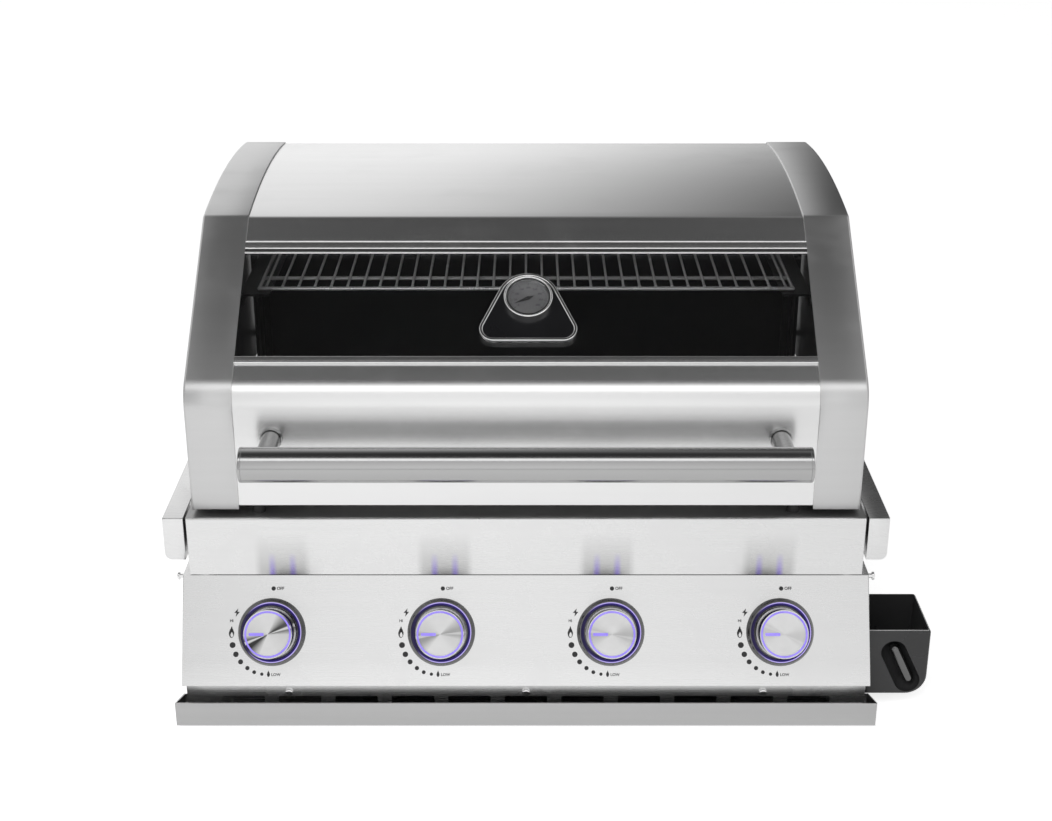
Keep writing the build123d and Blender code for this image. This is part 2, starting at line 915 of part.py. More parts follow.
outer_body = catcher_body(0)
bulge = recess_frame * pod(recess_long + catcher_wall, recess_round + catcher_wall)
recess = recess_frame * pod(recess_long, recess_round)
catcher = outer_body - catcher_body(catcher_wall)
catcher += bulge & outer_body
catcher -= recess
for place in catcher_places:
    catcher -= place * Cylinder(screw_radius, 2 * catcher_wall + thick_sheet)
save("cap_catcher", catcher)

claw_home = recess_frame * Pos(-claw_shift, recess_round - claw_round, 0)
claw = claw_home * pod(claw_long, claw_round)
save("opener_claw", claw & recess)

# Knobs, bezels and valves

stand = (Align.CENTER, Align.CENTER, Align.MIN)
bezel = Cone(bezel_radius, bezel_top_radius, bezel_height, align=stand)
bezel = fillet(bezel.edges().sort_by(Axis.Z)[-1], edge_round / 2)
bezel -= Pos(0, 0, bezel_floor) * Cylinder(bezel_bore, bezel_height, align=stand)
bezel += Cylinder(bezel_spigot, spigot_depth, align=hang)
bezel -= Cylinder(stem_hole, 4 * bezel_height)
bezel -= Pos(0, 0, -sheet) * Cylinder(bezel_spigot - thick_sheet, 2 * spigot_depth, align=hang)
save("knob_bezels", Compound([knob_plane(x) * bezel for x in knob_places]))

light = Cylinder(light_outer, light_height, align=stand)
light -= Cylinder(light_inner, 4 * light_height)
lights = [knob_plane(x) * Pos(0, 0, bezel_floor) * light for x in knob_places]
save("light_rings", Compound(lights))

knob_body = Cylinder(knob_radius, knob_height, align=stand)
knob_body = fillet(knob_body.edges().sort_by(Axis.Z)[-1], edge_round)
knob_body += Cylinder(knob_skirt_radius, knob_skirt, align=stand)
dish = Cylinder(knob_radius - knob_rim, knob_height, align=stand)
knob_body -= Pos(0, 0, knob_height - knob_dish) * dish
core_height = knob_height - knob_dish - knob_wall
hollow = Cylinder(knob_radius - knob_wall, core_height, align=stand)
hollow -= Cylinder(knob_boss, core_height, align=stand)
knob_body -= hollow
shaft_top = knob_lift + core_height - thick_sheet
shaft_foot = -valve_face - plug_seat
flat_cut = block(
    (stem_shaft - stem_flat, stem_shaft * 2), (-stem_shaft, stem_shaft), (0, knob_height)
)
shaft_hole = Cylinder(stem_shaft, shaft_top - knob_lift, align=stand) - flat_cut
knob_body -= shaft_hole

shaft = Cylinder(stem_shaft, shaft_top - shaft_foot, align=stand)
shaft = Pos(0, 0, shaft_foot) * shaft - Pos(0, 0, knob_lift) * flat_cut

plug_foot = shaft_foot - plug_length + plug_seat
plug = Pos(0, 0, plug_foot) * Rot(0, 0, plug_seam_angle) * Cylinder(plug_radius, plug_length, align=stand)
plug -= Pos(0, 0, shaft_foot - knob_push - touch_gap) * Cylinder(
    stem_shaft + shaft_fit, plug_length, align=stand
)

valve_back = -valve_face - valve_length
valve = Pos(0, 0, valve_back) * Cylinder(valve_radius, valve_length, align=stand)
valve += Pos(0, 0, -valve_face) * Cylinder(valve_bonnet_radius, valve_face / 2, align=stand)
inlet = rod((0, 0, -valve_drop), (0, -manifold_offset, -valve_drop), valve_bonnet_radius)
valve += inlet
valve -= Pos(0, 0, plug_foot - touch_gap) * Cylinder(
    plug_radius + shaft_fit, plug_length + 2 * touch_gap, align=stand
)
valve -= Pos(0, 0, plug_foot) * Cylinder(stem_shaft + 2 * shaft_fit, valve_length, align=stand)

manifold = rod(
    (-manifold_half, manifold_y, manifold_z), (manifold_half, manifold_y, manifold_z), manifold_radius
)
valve_seat_y = knob_y + (valve_face + valve_length) * cos(panel_lean)
valves = []
for number, x in enumerate(knob_places, start=1):
    frame = knob_plane(x)
    save(f"knob_{number}", frame * Pos(0, 0, knob_lift) * knob_body)
    save(f"valve_stem_{number}", frame * shaft)
    save(f"valve_plug_{number}", frame * plug)
    jet = rod((x, valve_seat_y - valve_radius, -burner_drop), (x, jet_tip, -burner_drop), jet_radius)
    jet -= frame * Pos(0, 0, plug_foot) * Cylinder(plug_radius + shaft_fit, valve_length, align=stand)
    valves.append(frame * valve + jet - manifold)
save("gas_valves", Compound(valves))
save("gas_manifold", manifold)

# Gas inlet pipe along the right side

corner_point = (inlet_x, manifold_y, manifold_z)
inlet_pipe = rod((manifold_half, manifold_y, manifold_z), corner_point, inlet_radius)
inlet_pipe += rod(corner_point, (inlet_x, inlet_end, manifold_z), inlet_radius)
inlet_pipe += Pos(*corner_point) * Sphere(inlet_radius)
inlet_pipe += rod(
    (inlet_x, inlet_end, manifold_z),
    (inlet_x, inlet_end + inlet_fitting_length, manifold_z),
    inlet_fitting_radius,
)
save("gas_inlet", inlet_pipe)

# Burners, igniter electrodes and flame tamers

tube = rod((0, burner_mouth, -burner_drop), (0, burner_back, -burner_drop), burner_radius)
tube -= rod(
    (0, burner_mouth - overrun, -burner_drop),
    (0, burner_back - thick_sheet, -burner_drop),
    burner_radius - burner_wall,
)
port_run = liner_back - liner_front - 4 * burner_radius
for i in range(port_count):
    y = liner_front + 2 * burner_radius + port_run * (i + 0.5) / port_count
    tube -= block(
        (-2 * burner_radius, 2 * burner_radius),
        (y - port_width / 2, y + port_width / 2),
        (-burner_drop + thick_sheet, -burner_drop + thick_sheet + port_height),
    )
foot = block(
    (-sheet, sheet),
    (burner_back - thick_sheet, liner_back - sheet),
    (-burner_drop - thick_sheet, -burner_drop + thick_sheet),
)
tube += foot
save("burners", Compound([Pos(x, 0, 0) * tube for x in knob_places]))

electrodes = []
for x in knob_places:
    side_x = x + burner_radius + electrode_radius + touch_gap
    start = (side_x, electrode_start, -burner_drop)
    end = (side_x, electrode_start + electrode_length, -burner_drop)
    tip = (side_x, electrode_start + electrode_length + electrode_wire_length, -burner_drop)
    electrodes.append(rod(start, end, electrode_radius) + rod(end, tip, electrode_wire))
save("igniter_electrodes", Compound(electrodes))

tamer_foot = -tamer_ledge_drop
tamer_outline = [
    (-tamer_half_width, tamer_foot),
    (0, tamer_foot + tamer_rise),
    (tamer_half_width, tamer_foot),
    (tamer_half_width - thick_sheet * 2, tamer_foot),
    (0, tamer_foot + tamer_rise - thick_sheet),
    (-tamer_half_width + thick_sheet * 2, tamer_foot),
]
tamer_y = (inside_y[0] + grate_play, inside_y[1] - grate_play)
tamer_face = make_face(Polyline(*[(x, tamer_y[0], z) for x, z in tamer_outline], close=True))
tamer = extrude(tamer_face, amount=tamer_y[1] - tamer_y[0], dir=(0, 1, 0))
save("flame_tamers", Compound([Pos(x, 0, 0) * tamer for x in knob_places]))

# Cooking grates


def grate(x_low):
    y_low, y_high = tamer_y
    foot_z = -grate_ledge_drop
    bars = []
    step = (grate_width - grate_bar) / (grate_bars - 1)
    for i in range(grate_bars):
        x = x_low + i * step
        bars.append(block((x, x + grate_bar), (y_low, y_high), (foot_z, foot_z + grate_height)))
    cross_z = (foot_z, foot_z + grate_height - thick_sheet * 2)
    middle = (y_low + y_high) / 2
    for y in (y_low, middle - grate_bar / 2, y_high - grate_bar):
        bars.append(block((x_low, x_low + grate_width), (y, y + grate_bar), cross_z))
    return fuse(*bars)


grate_step = grate_width + grate_gap
for i, name in enumerate(("left", "centre", "right")):
    save(f"cooking_grate_{name}", grate((i - grate_count / 2) * grate_step + grate_gap / 2))

# Warming rack and its supports

wire_z = rack_height
bar_z = wire_z - rack_bar_radius - rack_wire_radius + rack_sink
bar_places = (rack_front, rack_front + rack_mid_step, rack_back)
rack = rod((-rack_half, rack_front, bar_z), (rack_half, rack_front, bar_z), rack_bar_radius)
for y in bar_places[1:]:
    rack += rod((-rack_half, y, bar_z), (rack_half, y, bar_z), rack_bar_radius)
for side in (-1, 1):
    rack += rod(
        (side * rack_half, rack_front, bar_z), (side * rack_half, rack_back, bar_z), rack_bar_radius
    )
for i in range(rack_wires):
    x = (i - (rack_wires - 1) / 2) * rack_pitch
    rack += rod((x, rack_front - rack_bar_radius, wire_z), (x, rack_back, wire_z), rack_wire_radius)
save("warming_rack", rack)

arm_top = bar_z - rack_bar_radius
arm_foot = arm_top - support_arm_height
leg = (support_leg_place, support_leg_place + support_foot_depth)
support_outline = [
    (rack_front - support_arm_height, arm_top),
    (rack_back + support_arm_height, arm_top),
    (rack_back + support_arm_height, arm_foot),
    (leg[1] + support_foot_depth, arm_foot),
    (leg[1], arm_foot - support_foot_depth),
    (leg[1], liner_top),
    (leg[0], liner_top),
    (leg[0], arm_foot - support_foot_depth),
    (leg[0] - support_foot_depth, arm_foot),
    (rack_front - support_arm_height, arm_foot),
]
support = side_prism(support_outline, support_inset, support_inset + support_sheet)
support += block(
    (
        min(rack_half - support_arm_height, support_inset),
        max(rack_half, support_inset + support_sheet),
    ),
    (rack_front - support_arm_height, rack_back + support_arm_height),
    (arm_top - support_sheet, arm_top),
)
save("rack_supports", Compound([support, mirrored(support)]))

# Drip tray and its runners

front_span = (-tray_front_width / 2, tray_front_width / 2)
trough = block(front_span, (-panel_foot_reach, -tray_back_reach), (-tray_foot, -tray_top))
trough -= block(
    (front_span[0] + sheet, front_span[1] - sheet),
    (-panel_foot_reach + sheet, overrun),
    (-tray_foot + sheet, overrun),
)
trough += block(
    front_span,
    (-tray_back_reach - sheet, -tray_back_reach),
    (-tray_foot, -tray_foot + tray_back_wall),
)
save("drip_tray_front", trough)

pan = block((-pan_half, pan_half), (-tray_back_reach, tray_rear), (-tray_foot, -tray_foot + pan_height))
pan -= block(
    (-pan_half + sheet, pan_half - sheet),
    (-tray_back_reach + sheet, tray_rear - sheet),
    (-tray_foot + sheet, overrun),
)
save("drip_tray_pan", pan)

runner_z = (-base_depth_below + sheet, -tray_foot - touch_gap)
runner = block(
    (runner_place, runner_place + runner_width), (firebox_front, firebox_back - 2 * sheet), runner_z
)
save("tray_runners", Compound([runner, mirrored(runner)]))

supply_x = (supply_box_place[0], supply_box_place[0] + supply_box[0])
supply_y = (supply_box_place[1] - supply_box[1] / 2, supply_box_place[1] + supply_box[1] / 2)
supply_foot = -vent_floor + sheet
supply = block(supply_x, supply_y, (supply_foot, supply_foot + supply_box[2]))
supply = fillet(supply.edges().filter_by(Axis.Z), bend_round)
save("light_supply", supply)
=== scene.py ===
# %% [markdown]
# # A built in gas grill in stainless steel
# The CAD model gives every size and every joint. Here its pieces get their bends, rolled edges,
# brushed grain and small hardware. All lengths in the comments are millimetres.

import json
from math import atan2, cos, hypot, pi, radians, sin, tan

import bmesh
import bpy
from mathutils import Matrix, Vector

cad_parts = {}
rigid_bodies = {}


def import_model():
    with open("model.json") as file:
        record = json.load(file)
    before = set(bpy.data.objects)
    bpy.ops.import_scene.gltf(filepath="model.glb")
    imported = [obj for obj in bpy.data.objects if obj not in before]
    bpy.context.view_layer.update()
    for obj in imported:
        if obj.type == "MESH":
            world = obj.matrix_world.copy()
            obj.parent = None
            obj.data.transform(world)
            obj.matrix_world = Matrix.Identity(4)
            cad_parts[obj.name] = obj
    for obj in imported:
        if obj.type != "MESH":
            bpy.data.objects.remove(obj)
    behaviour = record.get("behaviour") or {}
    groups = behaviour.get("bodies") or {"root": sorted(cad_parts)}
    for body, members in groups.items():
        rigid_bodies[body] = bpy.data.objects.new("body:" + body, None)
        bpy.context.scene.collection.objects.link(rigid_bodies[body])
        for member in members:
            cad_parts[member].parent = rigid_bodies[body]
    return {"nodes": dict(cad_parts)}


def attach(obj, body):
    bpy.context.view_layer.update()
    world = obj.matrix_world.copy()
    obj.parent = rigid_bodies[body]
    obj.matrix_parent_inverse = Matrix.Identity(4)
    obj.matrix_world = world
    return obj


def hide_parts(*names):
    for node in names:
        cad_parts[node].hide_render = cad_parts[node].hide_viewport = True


if bpy.data.objects:
    bpy.ops.object.select_all(action="SELECT")
    bpy.ops.object.delete()
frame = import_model()
bpy.ops.object.select_all(action="DESELECT")
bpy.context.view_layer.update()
print("nodes", len(frame["nodes"]))

# %% [markdown]
# ## The maker's axes
# Grill makers measure from the hood: heights from its lower edge and depths from its front face.
# The frame puts its origin in the middle of the firebox's underside, so two small functions turn
# one into the other. The sloped window and the tilted panel get their own.

# %% Places
MM = 0.001
MIDDLE = 272.5
FOOT = 252.0
SLOPE = radians(37.3)
CORNER = 136.2
SLOPE_LENGTH = 237.0
LEDGE = -9.5
FASCIA_FRONT, FASCIA_FOOT = -12.4, -79.8
PANEL_FRONT, PANEL_FOOT = -66.8, -193.5
PANEL_RUN = (FASCIA_FRONT - PANEL_FRONT, FASCIA_FOOT - PANEL_FOOT)
LEAN = atan2(*PANEL_RUN)
KNOB_LINE = 0.515 * hypot(*PANEL_RUN)
SHEET = 1.5


def at(x, y, z):
    return Vector((x, y - MIDDLE, z + FOOT)) * MM


def spot(co):
    return Vector((co.x / MM, co.y / MM + MIDDLE, co.z / MM - FOOT))


def on_slope(x, t, h):
    """A place on the window slope: across, up the slope and out of it."""
    return at(x, t * cos(SLOPE) - h * sin(SLOPE), CORNER + t * sin(SLOPE) + h * cos(SLOPE))


def up_slope(p):
    return p.y * cos(SLOPE) + (p.z - CORNER) * sin(SLOPE)


def off_slope(p):
    return -p.y * sin(SLOPE) + (p.z - CORNER) * cos(SLOPE)


KNOB_TURN = (pi / 2 - LEAN, 0, 0)
SLOPE_TURN = (SLOPE, 0, 0)
KNOB_XS = (-286.8, -95.6, 95.6, 286.8)


def on_panel(x, down=0.0, out=0.0):
    """A place on the control panel, measured from the knob line."""
    run = KNOB_LINE + down
    y = FASCIA_FRONT - run * sin(LEAN) - out * cos(LEAN)
    return at(x, y, FASCIA_FOOT - run * cos(LEAN) + out * sin(LEAN))


# %% [markdown]
# ## Hands in edit mode
# Every new piece starts as a primitive and is shaped with the operators a person would use. These
# helpers select by place, because a script has no mouse.

# %% Selecting and shaping
KINDS = {"VERT": "verts", "EDGE": "edges", "FACE": "faces"}


def only(*pieces):
    """Selects these objects and nothing else, in object mode; the first is active."""
    if bpy.context.mode != "OBJECT":
        bpy.ops.object.mode_set(mode="OBJECT")
    bpy.ops.object.select_all(action="DESELECT")
    for piece in reversed(pieces):
        piece.select_set(True)
        bpy.context.view_layer.objects.active = piece


def apply_place():
    bpy.ops.object.transform_apply(location=True, rotation=True, scale=True)


def begin(name, primitive, scale=(1, 1, 1), **settings):
    """Adds a primitive, applies its place and opens it in edit mode, selected all over."""
    only()
    primitive(**settings)
    piece = bpy.context.object
    piece.scale = scale
    piece.name = piece.data.name = name
    apply_place()
    bpy.ops.object.mode_set(mode="EDIT")
    return piece


def cylinder(name, radius, depth, place, turn=(0, 0, 0), count=64):
    return begin(name, bpy.ops.mesh.primitive_cylinder_add, vertices=count, radius=radius * MM,
                 depth=depth * MM, location=place, rotation=turn)


def cube(name, size, place=(0, 0, 0), turn=(0, 0, 0)):
    return begin(name, bpy.ops.mesh.primitive_cube_add, size=1, location=place, rotation=turn,
                 scale=[length * MM for length in size])


def box_piece(name, x, y, z):
    """A cube from three (low, high) pairs, open in edit mode."""
    middle = [(low + high) / 2 for low, high in (x, y, z)]
    return cube(name, [high - low for low, high in (x, y, z)], at(*middle))


def everything():
    bpy.ops.mesh.select_all(action="SELECT")


def reopen(piece):
    only(piece)
    bpy.ops.object.mode_set(mode="EDIT")
    everything()


def choose(kind, test):
    """Selects the parts of the open mesh whose centre, in maker's millimetres, passes the test."""
    bpy.ops.mesh.select_mode(type=kind)
    bpy.ops.mesh.select_all(action="DESELECT")
    mesh = bmesh.from_edit_mesh(bpy.context.object.data)
    for part in getattr(mesh, KINDS[kind]):
        corners = [part] if kind == "VERT" else part.verts
        centre = sum((v.co for v in corners), Vector()) / len(corners)
        if test(spot(centre), part):
            part.select_set(True)
    mesh.select_flush_mode()
    bmesh.update_edit_mesh(bpy.context.object.data)


def local(kind, test):
    """Like choose, for a piece still being turned at the origin: plain millimetres."""
    shift = Vector((0, MIDDLE, -FOOT))
    choose(kind, lambda p, part: test(p - shift, part))


def delete_faces(test, pick=choose):
    pick("FACE", test)
    bpy.ops.mesh.delete(type="FACE")


def score(*planes):
    """Divides the faces along planes, each a place and a way."""
    for place, way in planes:
        everything()
        bpy.ops.mesh.bisect(plane_co=place, plane_no=way)


def stretch(x, y, z, **about):
    bpy.ops.transform.resize(value=(x, y, z), **about)


def slide(x, y, z):
    bpy.ops.transform.translate(value=(x * MM, y * MM, z * MM))


def extrude(x, y, z):
    move = {"value": (x * MM, y * MM, z * MM)}
    bpy.ops.mesh.extrude_region_move(TRANSFORM_OT_translate=move)


def inset(width, sink=0.0):
    bpy.ops.mesh.inset(thickness=width * MM, depth=sink * MM)


def bevel(width, segments=3):
    bpy.ops.mesh.bevel(offset=width * MM, segments=segments, affect="EDGES")


def finish_with(piece, kind, **settings):
    """Adds a modifier, sets it and applies it."""
    only(piece)
    change = piece.modifiers.new(kind, kind)
    for key, value in settings.items():
        setattr(change, key, value)
    bpy.ops.object.modifier_apply(modifier=change.name)


def soften(piece, width, segments=2, angle=40):
    finish_with(
        piece, "BEVEL", width=width * MM, segments=segments, limit_method="ANGLE",
        angle_limit=radians(angle), harden_normals=False, use_clamp_overlap=True,
    )


def thicken(piece, thickness, offset=-1.0):
    finish_with(piece, "SOLIDIFY", thickness=thickness * MM, offset=offset, use_even_offset=True)


def outward(piece):
    reopen(piece)
    bpy.ops.mesh.remove_doubles(threshold=0.00001)
    bpy.ops.mesh.normals_make_consistent(inside=False)
    only(piece)


def cut(piece, *cutters, operation="DIFFERENCE"):
    for cutter in cutters:
        finish_with(piece, "BOOLEAN", operation=operation, object=cutter, solver="EXACT")
        bpy.data.objects.remove(cutter)


def move_to(piece, place, turn=(0, 0, 0)):
    """Puts a piece made at the origin in its place and applies it."""
    only(piece)
    piece.rotation_euler = turn
    piece.location = place
    apply_place()


def copy_of(piece, name, shift=(0, 0, 0)):
    """A copy with its own mesh, moved by millimetres."""
    only(piece)
    bpy.ops.object.duplicate(linked=False)
    twin = bpy.context.object
    twin.name = twin.data.name = name
    twin.location = Vector(shift) * MM
    apply_place()
    return twin


def other_side(piece, name):
    """The mirror image across the middle, with its faces turned out again."""
    twin = copy_of(piece, name)
    twin.scale = (-1, 1, 1)
    apply_place()
    outward(twin)
    return twin


def part_off(piece, name):
    """Makes the selected faces an object of their own."""
    bpy.ops.mesh.separate(type="SELECTED")
    only(piece)
    other = [o for o in bpy.data.objects if o.name.startswith(piece.name + ".")][-1]
    other.name = other.data.name = name
    return other


def join(*pieces):
    only(*pieces)
    bpy.ops.object.join()
    return bpy.context.object


# %% [markdown]
# ## Finishes
# Stainless sheet is brushed along its length, so each face carries fine lines across the width and
# its highlights smear at right angles to them. The lines, the faint waves of rolled sheet and the
# marks of fingers are node groups, so every metal on the grill shares them with its own values.

# %% Small node tools
def feed(tree, sockets, values):
    """Links or sets each value at the socket of its name or number."""
    for key, value in values.items():
        if isinstance(value, bpy.types.NodeSocket):
            tree.links.new(value, sockets[key])
        else:
            sockets[key].default_value = value


def spaced(values):
    return {key.replace("_", " "): value for key, value in values.items()}


def node(tree, kind, inputs=None, **settings):
    made = tree.nodes.new(kind)
    for key, value in settings.items():
        setattr(made, key, value)
    feed(tree, made.inputs, inputs or {})
    return made


def maths(tree, operation, first, second=0.5):
    return node(tree, "ShaderNodeMath", {0: first, 1: second}, operation=operation).outputs[0]


def times(tree, *values):
    result = values[0]
    for value in values[1:]:
        result = maths(tree, "MULTIPLY", result, value)
    return result


def spread(tree, value, low, high, to_low=0.0, to_high=1.0, **settings):
    return node(tree, "ShaderNodeMapRange", {
        "Value": value, "From Min": low, "From Max": high, "To Min": to_low, "To Max": to_high,
    }, **settings).outputs["Result"]


def tint(tree, mask, low, high):
    """A colour between two others."""
    made = node(tree, "ShaderNodeMix", {"Factor": mask}, data_type="RGBA")
    feed(tree, made.inputs, {6: low, 7: high})
    return made.outputs[2]


def noise(tree, place, scale, detail, **more):
    inputs = {"Vector": place, "Scale": scale, "Detail": detail, **more}
    return node(tree, "ShaderNodeTexNoise", inputs).outputs[0]


def body_place(tree):
    """Object coordinates, which ride with the piece."""
    return node(tree, "ShaderNodeTexCoord").outputs["Object"]


def axes_of(tree, place):
    return node(tree, "ShaderNodeSeparateXYZ", {0: place}).outputs


def relief(tree, height, strength, distance, **normal):
    inputs = {"Strength": strength, "Distance": distance, "Height": height, **normal}
    return node(tree, "ShaderNodeBump", inputs).outputs[0]


def group(name, inputs, outputs):
    tree = bpy.data.node_groups.new(name, "ShaderNodeTree")
    for title, kind, value in inputs:
        socket = tree.interface.new_socket(title, in_out="INPUT", socket_type=kind)
        if value is not None:
            socket.default_value = value
    for title in outputs:
        tree.interface.new_socket(title, in_out="OUTPUT", socket_type="NodeSocketFloat")
    entry, end = tree.nodes.new("NodeGroupInput"), tree.nodes.new("NodeGroupOutput")
    return tree, entry.outputs, end.inputs


# %% [markdown]
# ### Shared effects
# Brushed grain is noise pulled out very long along the sheet. Rolling waves are slow noise that
# bends a reflection by a hair. Handling marks are soft blotches that only change the gloss.

# %% Effect: brushed grain
VECTOR = ("Vector", "NodeSocketVector", None)
grain, given, result = group(
    "Brushed grain",
    [VECTOR, ("Along", "NodeSocketFloat", 6.0), ("Across", "NodeSocketFloat", 1400.0)],
    ["Lines", "Streaks"],
)
pull = node(grain, "ShaderNodeCombineXYZ", {"X": given["Along"], "Y": given["Across"]}).outputs[0]
pulled = node(grain, "ShaderNodeVectorMath", {0: given["Vector"], 1: pull},
              operation="MULTIPLY").outputs[0]
slow = node(grain, "ShaderNodeVectorMath", {0: pulled, 1: (0.25, 0.06, 1.0)},
            operation="MULTIPLY").outputs[0]
feed(grain, result, {"Lines": noise(grain, pulled, 1.0, 3.0, Roughness=0.7),
                     "Streaks": noise(grain, slow, 1.0, 2.0, Roughness=0.6)})

# %% Effect: rolled sheet waves and handling marks
waves, given, result = group(
    "Rolled sheet",
    [VECTOR, ("Wave scale", "NodeSocketFloat", 5.0), ("Mark scale", "NodeSocketFloat", 14.0)],
    ["Height", "Marks"],
)
blotches = noise(waves, given["Vector"], given["Mark scale"], 4.0, Roughness=0.6, Distortion=0.4)
feed(waves, result, {"Height": noise(waves, given["Vector"], given["Wave scale"], 1.0),
                     "Marks": spread(waves, blotches, 0.52, 0.78)})

# %% Effect: worn edges
wear, given, result = group("Worn edges", [VECTOR, ("Reach", "NodeSocketFloat", 0.5)], ["Mask"])
pointed = node(wear, "ShaderNodeNewGeometry").outputs["Pointiness"]
patchy = noise(wear, given["Vector"], 60.0, 3.0)
feed(wear, result, {"Mask": times(wear, spread(wear, pointed, 0.505, 0.56),
                                  spread(wear, patchy, 0.35, 0.6), given["Reach"])})

# %% [markdown]
# ### A steel of any kind
# One function makes every bare metal. It differs by tone, gloss, grain and how far the highlight is
# drawn out. Brushed pieces carry a UV map whose first axis runs along the grain; plain ones use
# Object coordinates.

# %% Making a metal
FRONT_FOOT, FRONT_TOP, BEND_TOP = 0.1705, 0.3705, 0.399
FRONT_DEPTH = -0.258


def use_group(tree, name, **inputs):
    made = node(tree, "ShaderNodeGroup", spaced(inputs), node_tree=bpy.data.node_groups[name])
    return made.outputs


def new_material(name, **settings):
    """A material with its Principled shader, whose plain settings are given by name."""
    material = bpy.data.materials.new(name)
    material.use_nodes = True
    tree = material.node_tree
    shader = tree.nodes["Principled BSDF"]
    feed(tree, shader.inputs, spaced(settings))
    return material, tree, shader


def grey(level):
    return (level, level, level, 1)


def front_lean(tree, body):
    """Tilts only the shading of the hood's upright front, as if it leant back a little."""
    _, depth, height = axes_of(tree, body)
    upright = spread(tree, height, FRONT_FOOT, FRONT_TOP, 0.2, 0.0)
    bend = spread(tree, height, FRONT_TOP, BEND_TOP, 1.0, 0.0)
    fall = maths(tree, "ADD", upright, times(tree, maths(tree, "POWER", bend, 2.0), 0.01425))
    return times(tree, fall, maths(tree, "LESS_THAN", depth, FRONT_DEPTH))


def metal(name, tone, rough, brushed=0.0, along=6.0, across=1400.0, grain_bump=0.15, wave=0.0,
          marks=0.06, worn=0.0, spread_tone=0.05, hue=(1, 1, 1), metallic=1.0, lean=False):
    material, tree, shader = new_material(
        name, Metallic=metallic, Anisotropic=brushed, Anisotropic_Rotation=0.25 if brushed else 0.0)
    places = node(tree, "ShaderNodeTexCoord").outputs
    body = places["Object"]
    sheet = places["UV"] if brushed else body
    lines = use_group(tree, "Brushed grain", Vector=sheet, Along=along, Across=across)
    rolled = use_group(tree, "Rolled sheet", Vector=body)
    edges = use_group(tree, "Worn edges", Vector=body, Reach=worn)
    light = [min(1.0, tone * (1 + spread_tone) * h) for h in hue] + [1]
    dark = [tone * (1 - spread_tone) * h for h in hue] + [1]
    toned = tint(tree, lines["Streaks"], dark, light)
    gloss = spread(tree, lines["Lines"], 0.3, 0.7, rough * 0.93, rough * 1.07)
    marked = maths(tree, "MULTIPLY_ADD", rolled["Marks"], marks)
    tree.links.new(gloss, marked.node.inputs[2])
    normal = relief(tree, lines["Lines"], grain_bump, 0.00004)
    if wave:
        normal = relief(tree, rolled["Height"], wave, 0.004, Normal=normal)
    if lean:
        normal = relief(tree, front_lean(tree, body), 1.0, 0.16, Normal=normal)
    feed(tree, shader.inputs, {
        "Base Color": tint(tree, edges["Mask"], toned, grey(min(1.0, tone * 1.25))),
        "Roughness": marked, "Normal": normal})
    if brushed:
        flow = node(tree, "ShaderNodeTangent", direction_type="UV_MAP", uv_map="UVMap")
        tree.links.new(flow.outputs[0], shader.inputs["Tangent"])
    return material


def paint_over(tree, mask, colour):
    """Lays a colour over what already feeds the shader's base colour."""
    base = tree.nodes["Principled BSDF"].inputs["Base Color"]
    tree.links.new(tint(tree, mask, base.links[0].from_socket, colour), base)


HOOD_STEEL = metal("hood_sheet", 0.82, 0.22, brushed=0.65, wave=0.03, marks=0.03, lean=True,
                   grain_bump=0.06, spread_tone=0.025)
CAP_STEEL = metal("cap_sheet", 0.63, 0.30, brushed=0.6, wave=0.03, grain_bump=0.06,
                  spread_tone=0.03)
PANEL_LOOK = {"tone": 0.80, "rough": 0.27, "brushed": 0.6, "wave": 0.03, "grain_bump": 0.06,
              "spread_tone": 0.02}
PANEL_STEEL = metal("panel_sheet", **PANEL_LOOK)
# The ledge's steel is darker than the panel's: painted shade for the ledge lying under the hood's
# edge.
SHADED_LEDGE_STEEL = metal("ledge_sheet", 0.42, 0.4, brushed=0.5, spread_tone=0.04)
# The tray's steel is toned darker than the panel's: painted shade for its place low under the
# grill, near the floor.
DARKENED_TRAY_STEEL = metal("tray_sheet", 0.50, 0.30, brushed=0.5, wave=0.03)
TRIM_STEEL = metal("trim_strip", 0.82, 0.22, brushed=0.5, grain_bump=0.05, spread_tone=0.02)
HANDLE_STEEL = metal("handle_tube", 0.45, 0.15, brushed=0.6, spread_tone=0.02, grain_bump=0.1,
                     marks=0.04)
CHROME = metal("bright_chrome", 0.86, 0.06, grain_bump=0.0, marks=0.05, spread_tone=0.01)
POST_STEEL = metal("post_steel", 0.3, 0.15, marks=0.03, spread_tone=0.02)
BEZEL_CHROME = metal("bezel_chrome", 0.15, 0.2, grain_bump=0.0, marks=0.04)
DARK_CHROME = metal("smoked_chrome", 0.065, 0.12, grain_bump=0.0, marks=0.04,
                    hue=(0.95, 0.93, 1.0))
INNER_STEEL = metal("inner_sheet", 0.06, 0.42, along=300, across=300, marks=0.1)
# Near-black steel for the caps' inner walls and the rim shields: painted shade for the inside of
# the hood.
SHADE_BLACK_STEEL = metal("cap_lining", 0.025, 0.5, along=300, across=300, marks=0.1)
SHELL_STEEL = metal("shell_sheet", 0.24, 0.36, along=40, across=260, marks=0.2, wave=0.05,
                    spread_tone=0.12)
LINER_STEEL = metal("liner_sheet", 0.07, 0.45, along=200, across=200, marks=0.15)
GRATE_STEEL = metal("grate_rod", 0.2, 0.4, along=400, across=400, marks=0.12, worn=0.3)
RACK_CHROME = metal("rack_wire", 0.95, 0.25, along=500, across=500, marks=0.05, metallic=0.3)
BRASS = metal("gas_brass", 0.75, 0.25, along=400, across=400, hue=(1.0, 0.78, 0.42))
STEM_STEEL = metal("stem_steel", 0.65, 0.25, along=500, across=500)
PIPE_STEEL = metal("pipe_steel", 0.55, 0.35, along=300, across=300, marks=0.12)
KNOB_METAL = metal("knob_face", 0.95, 0.42, brushed=1.0, along=40.0, across=900.0, grain_bump=0.05)
FASCIA_STEEL = metal("fascia_sheet", **PANEL_LOOK)
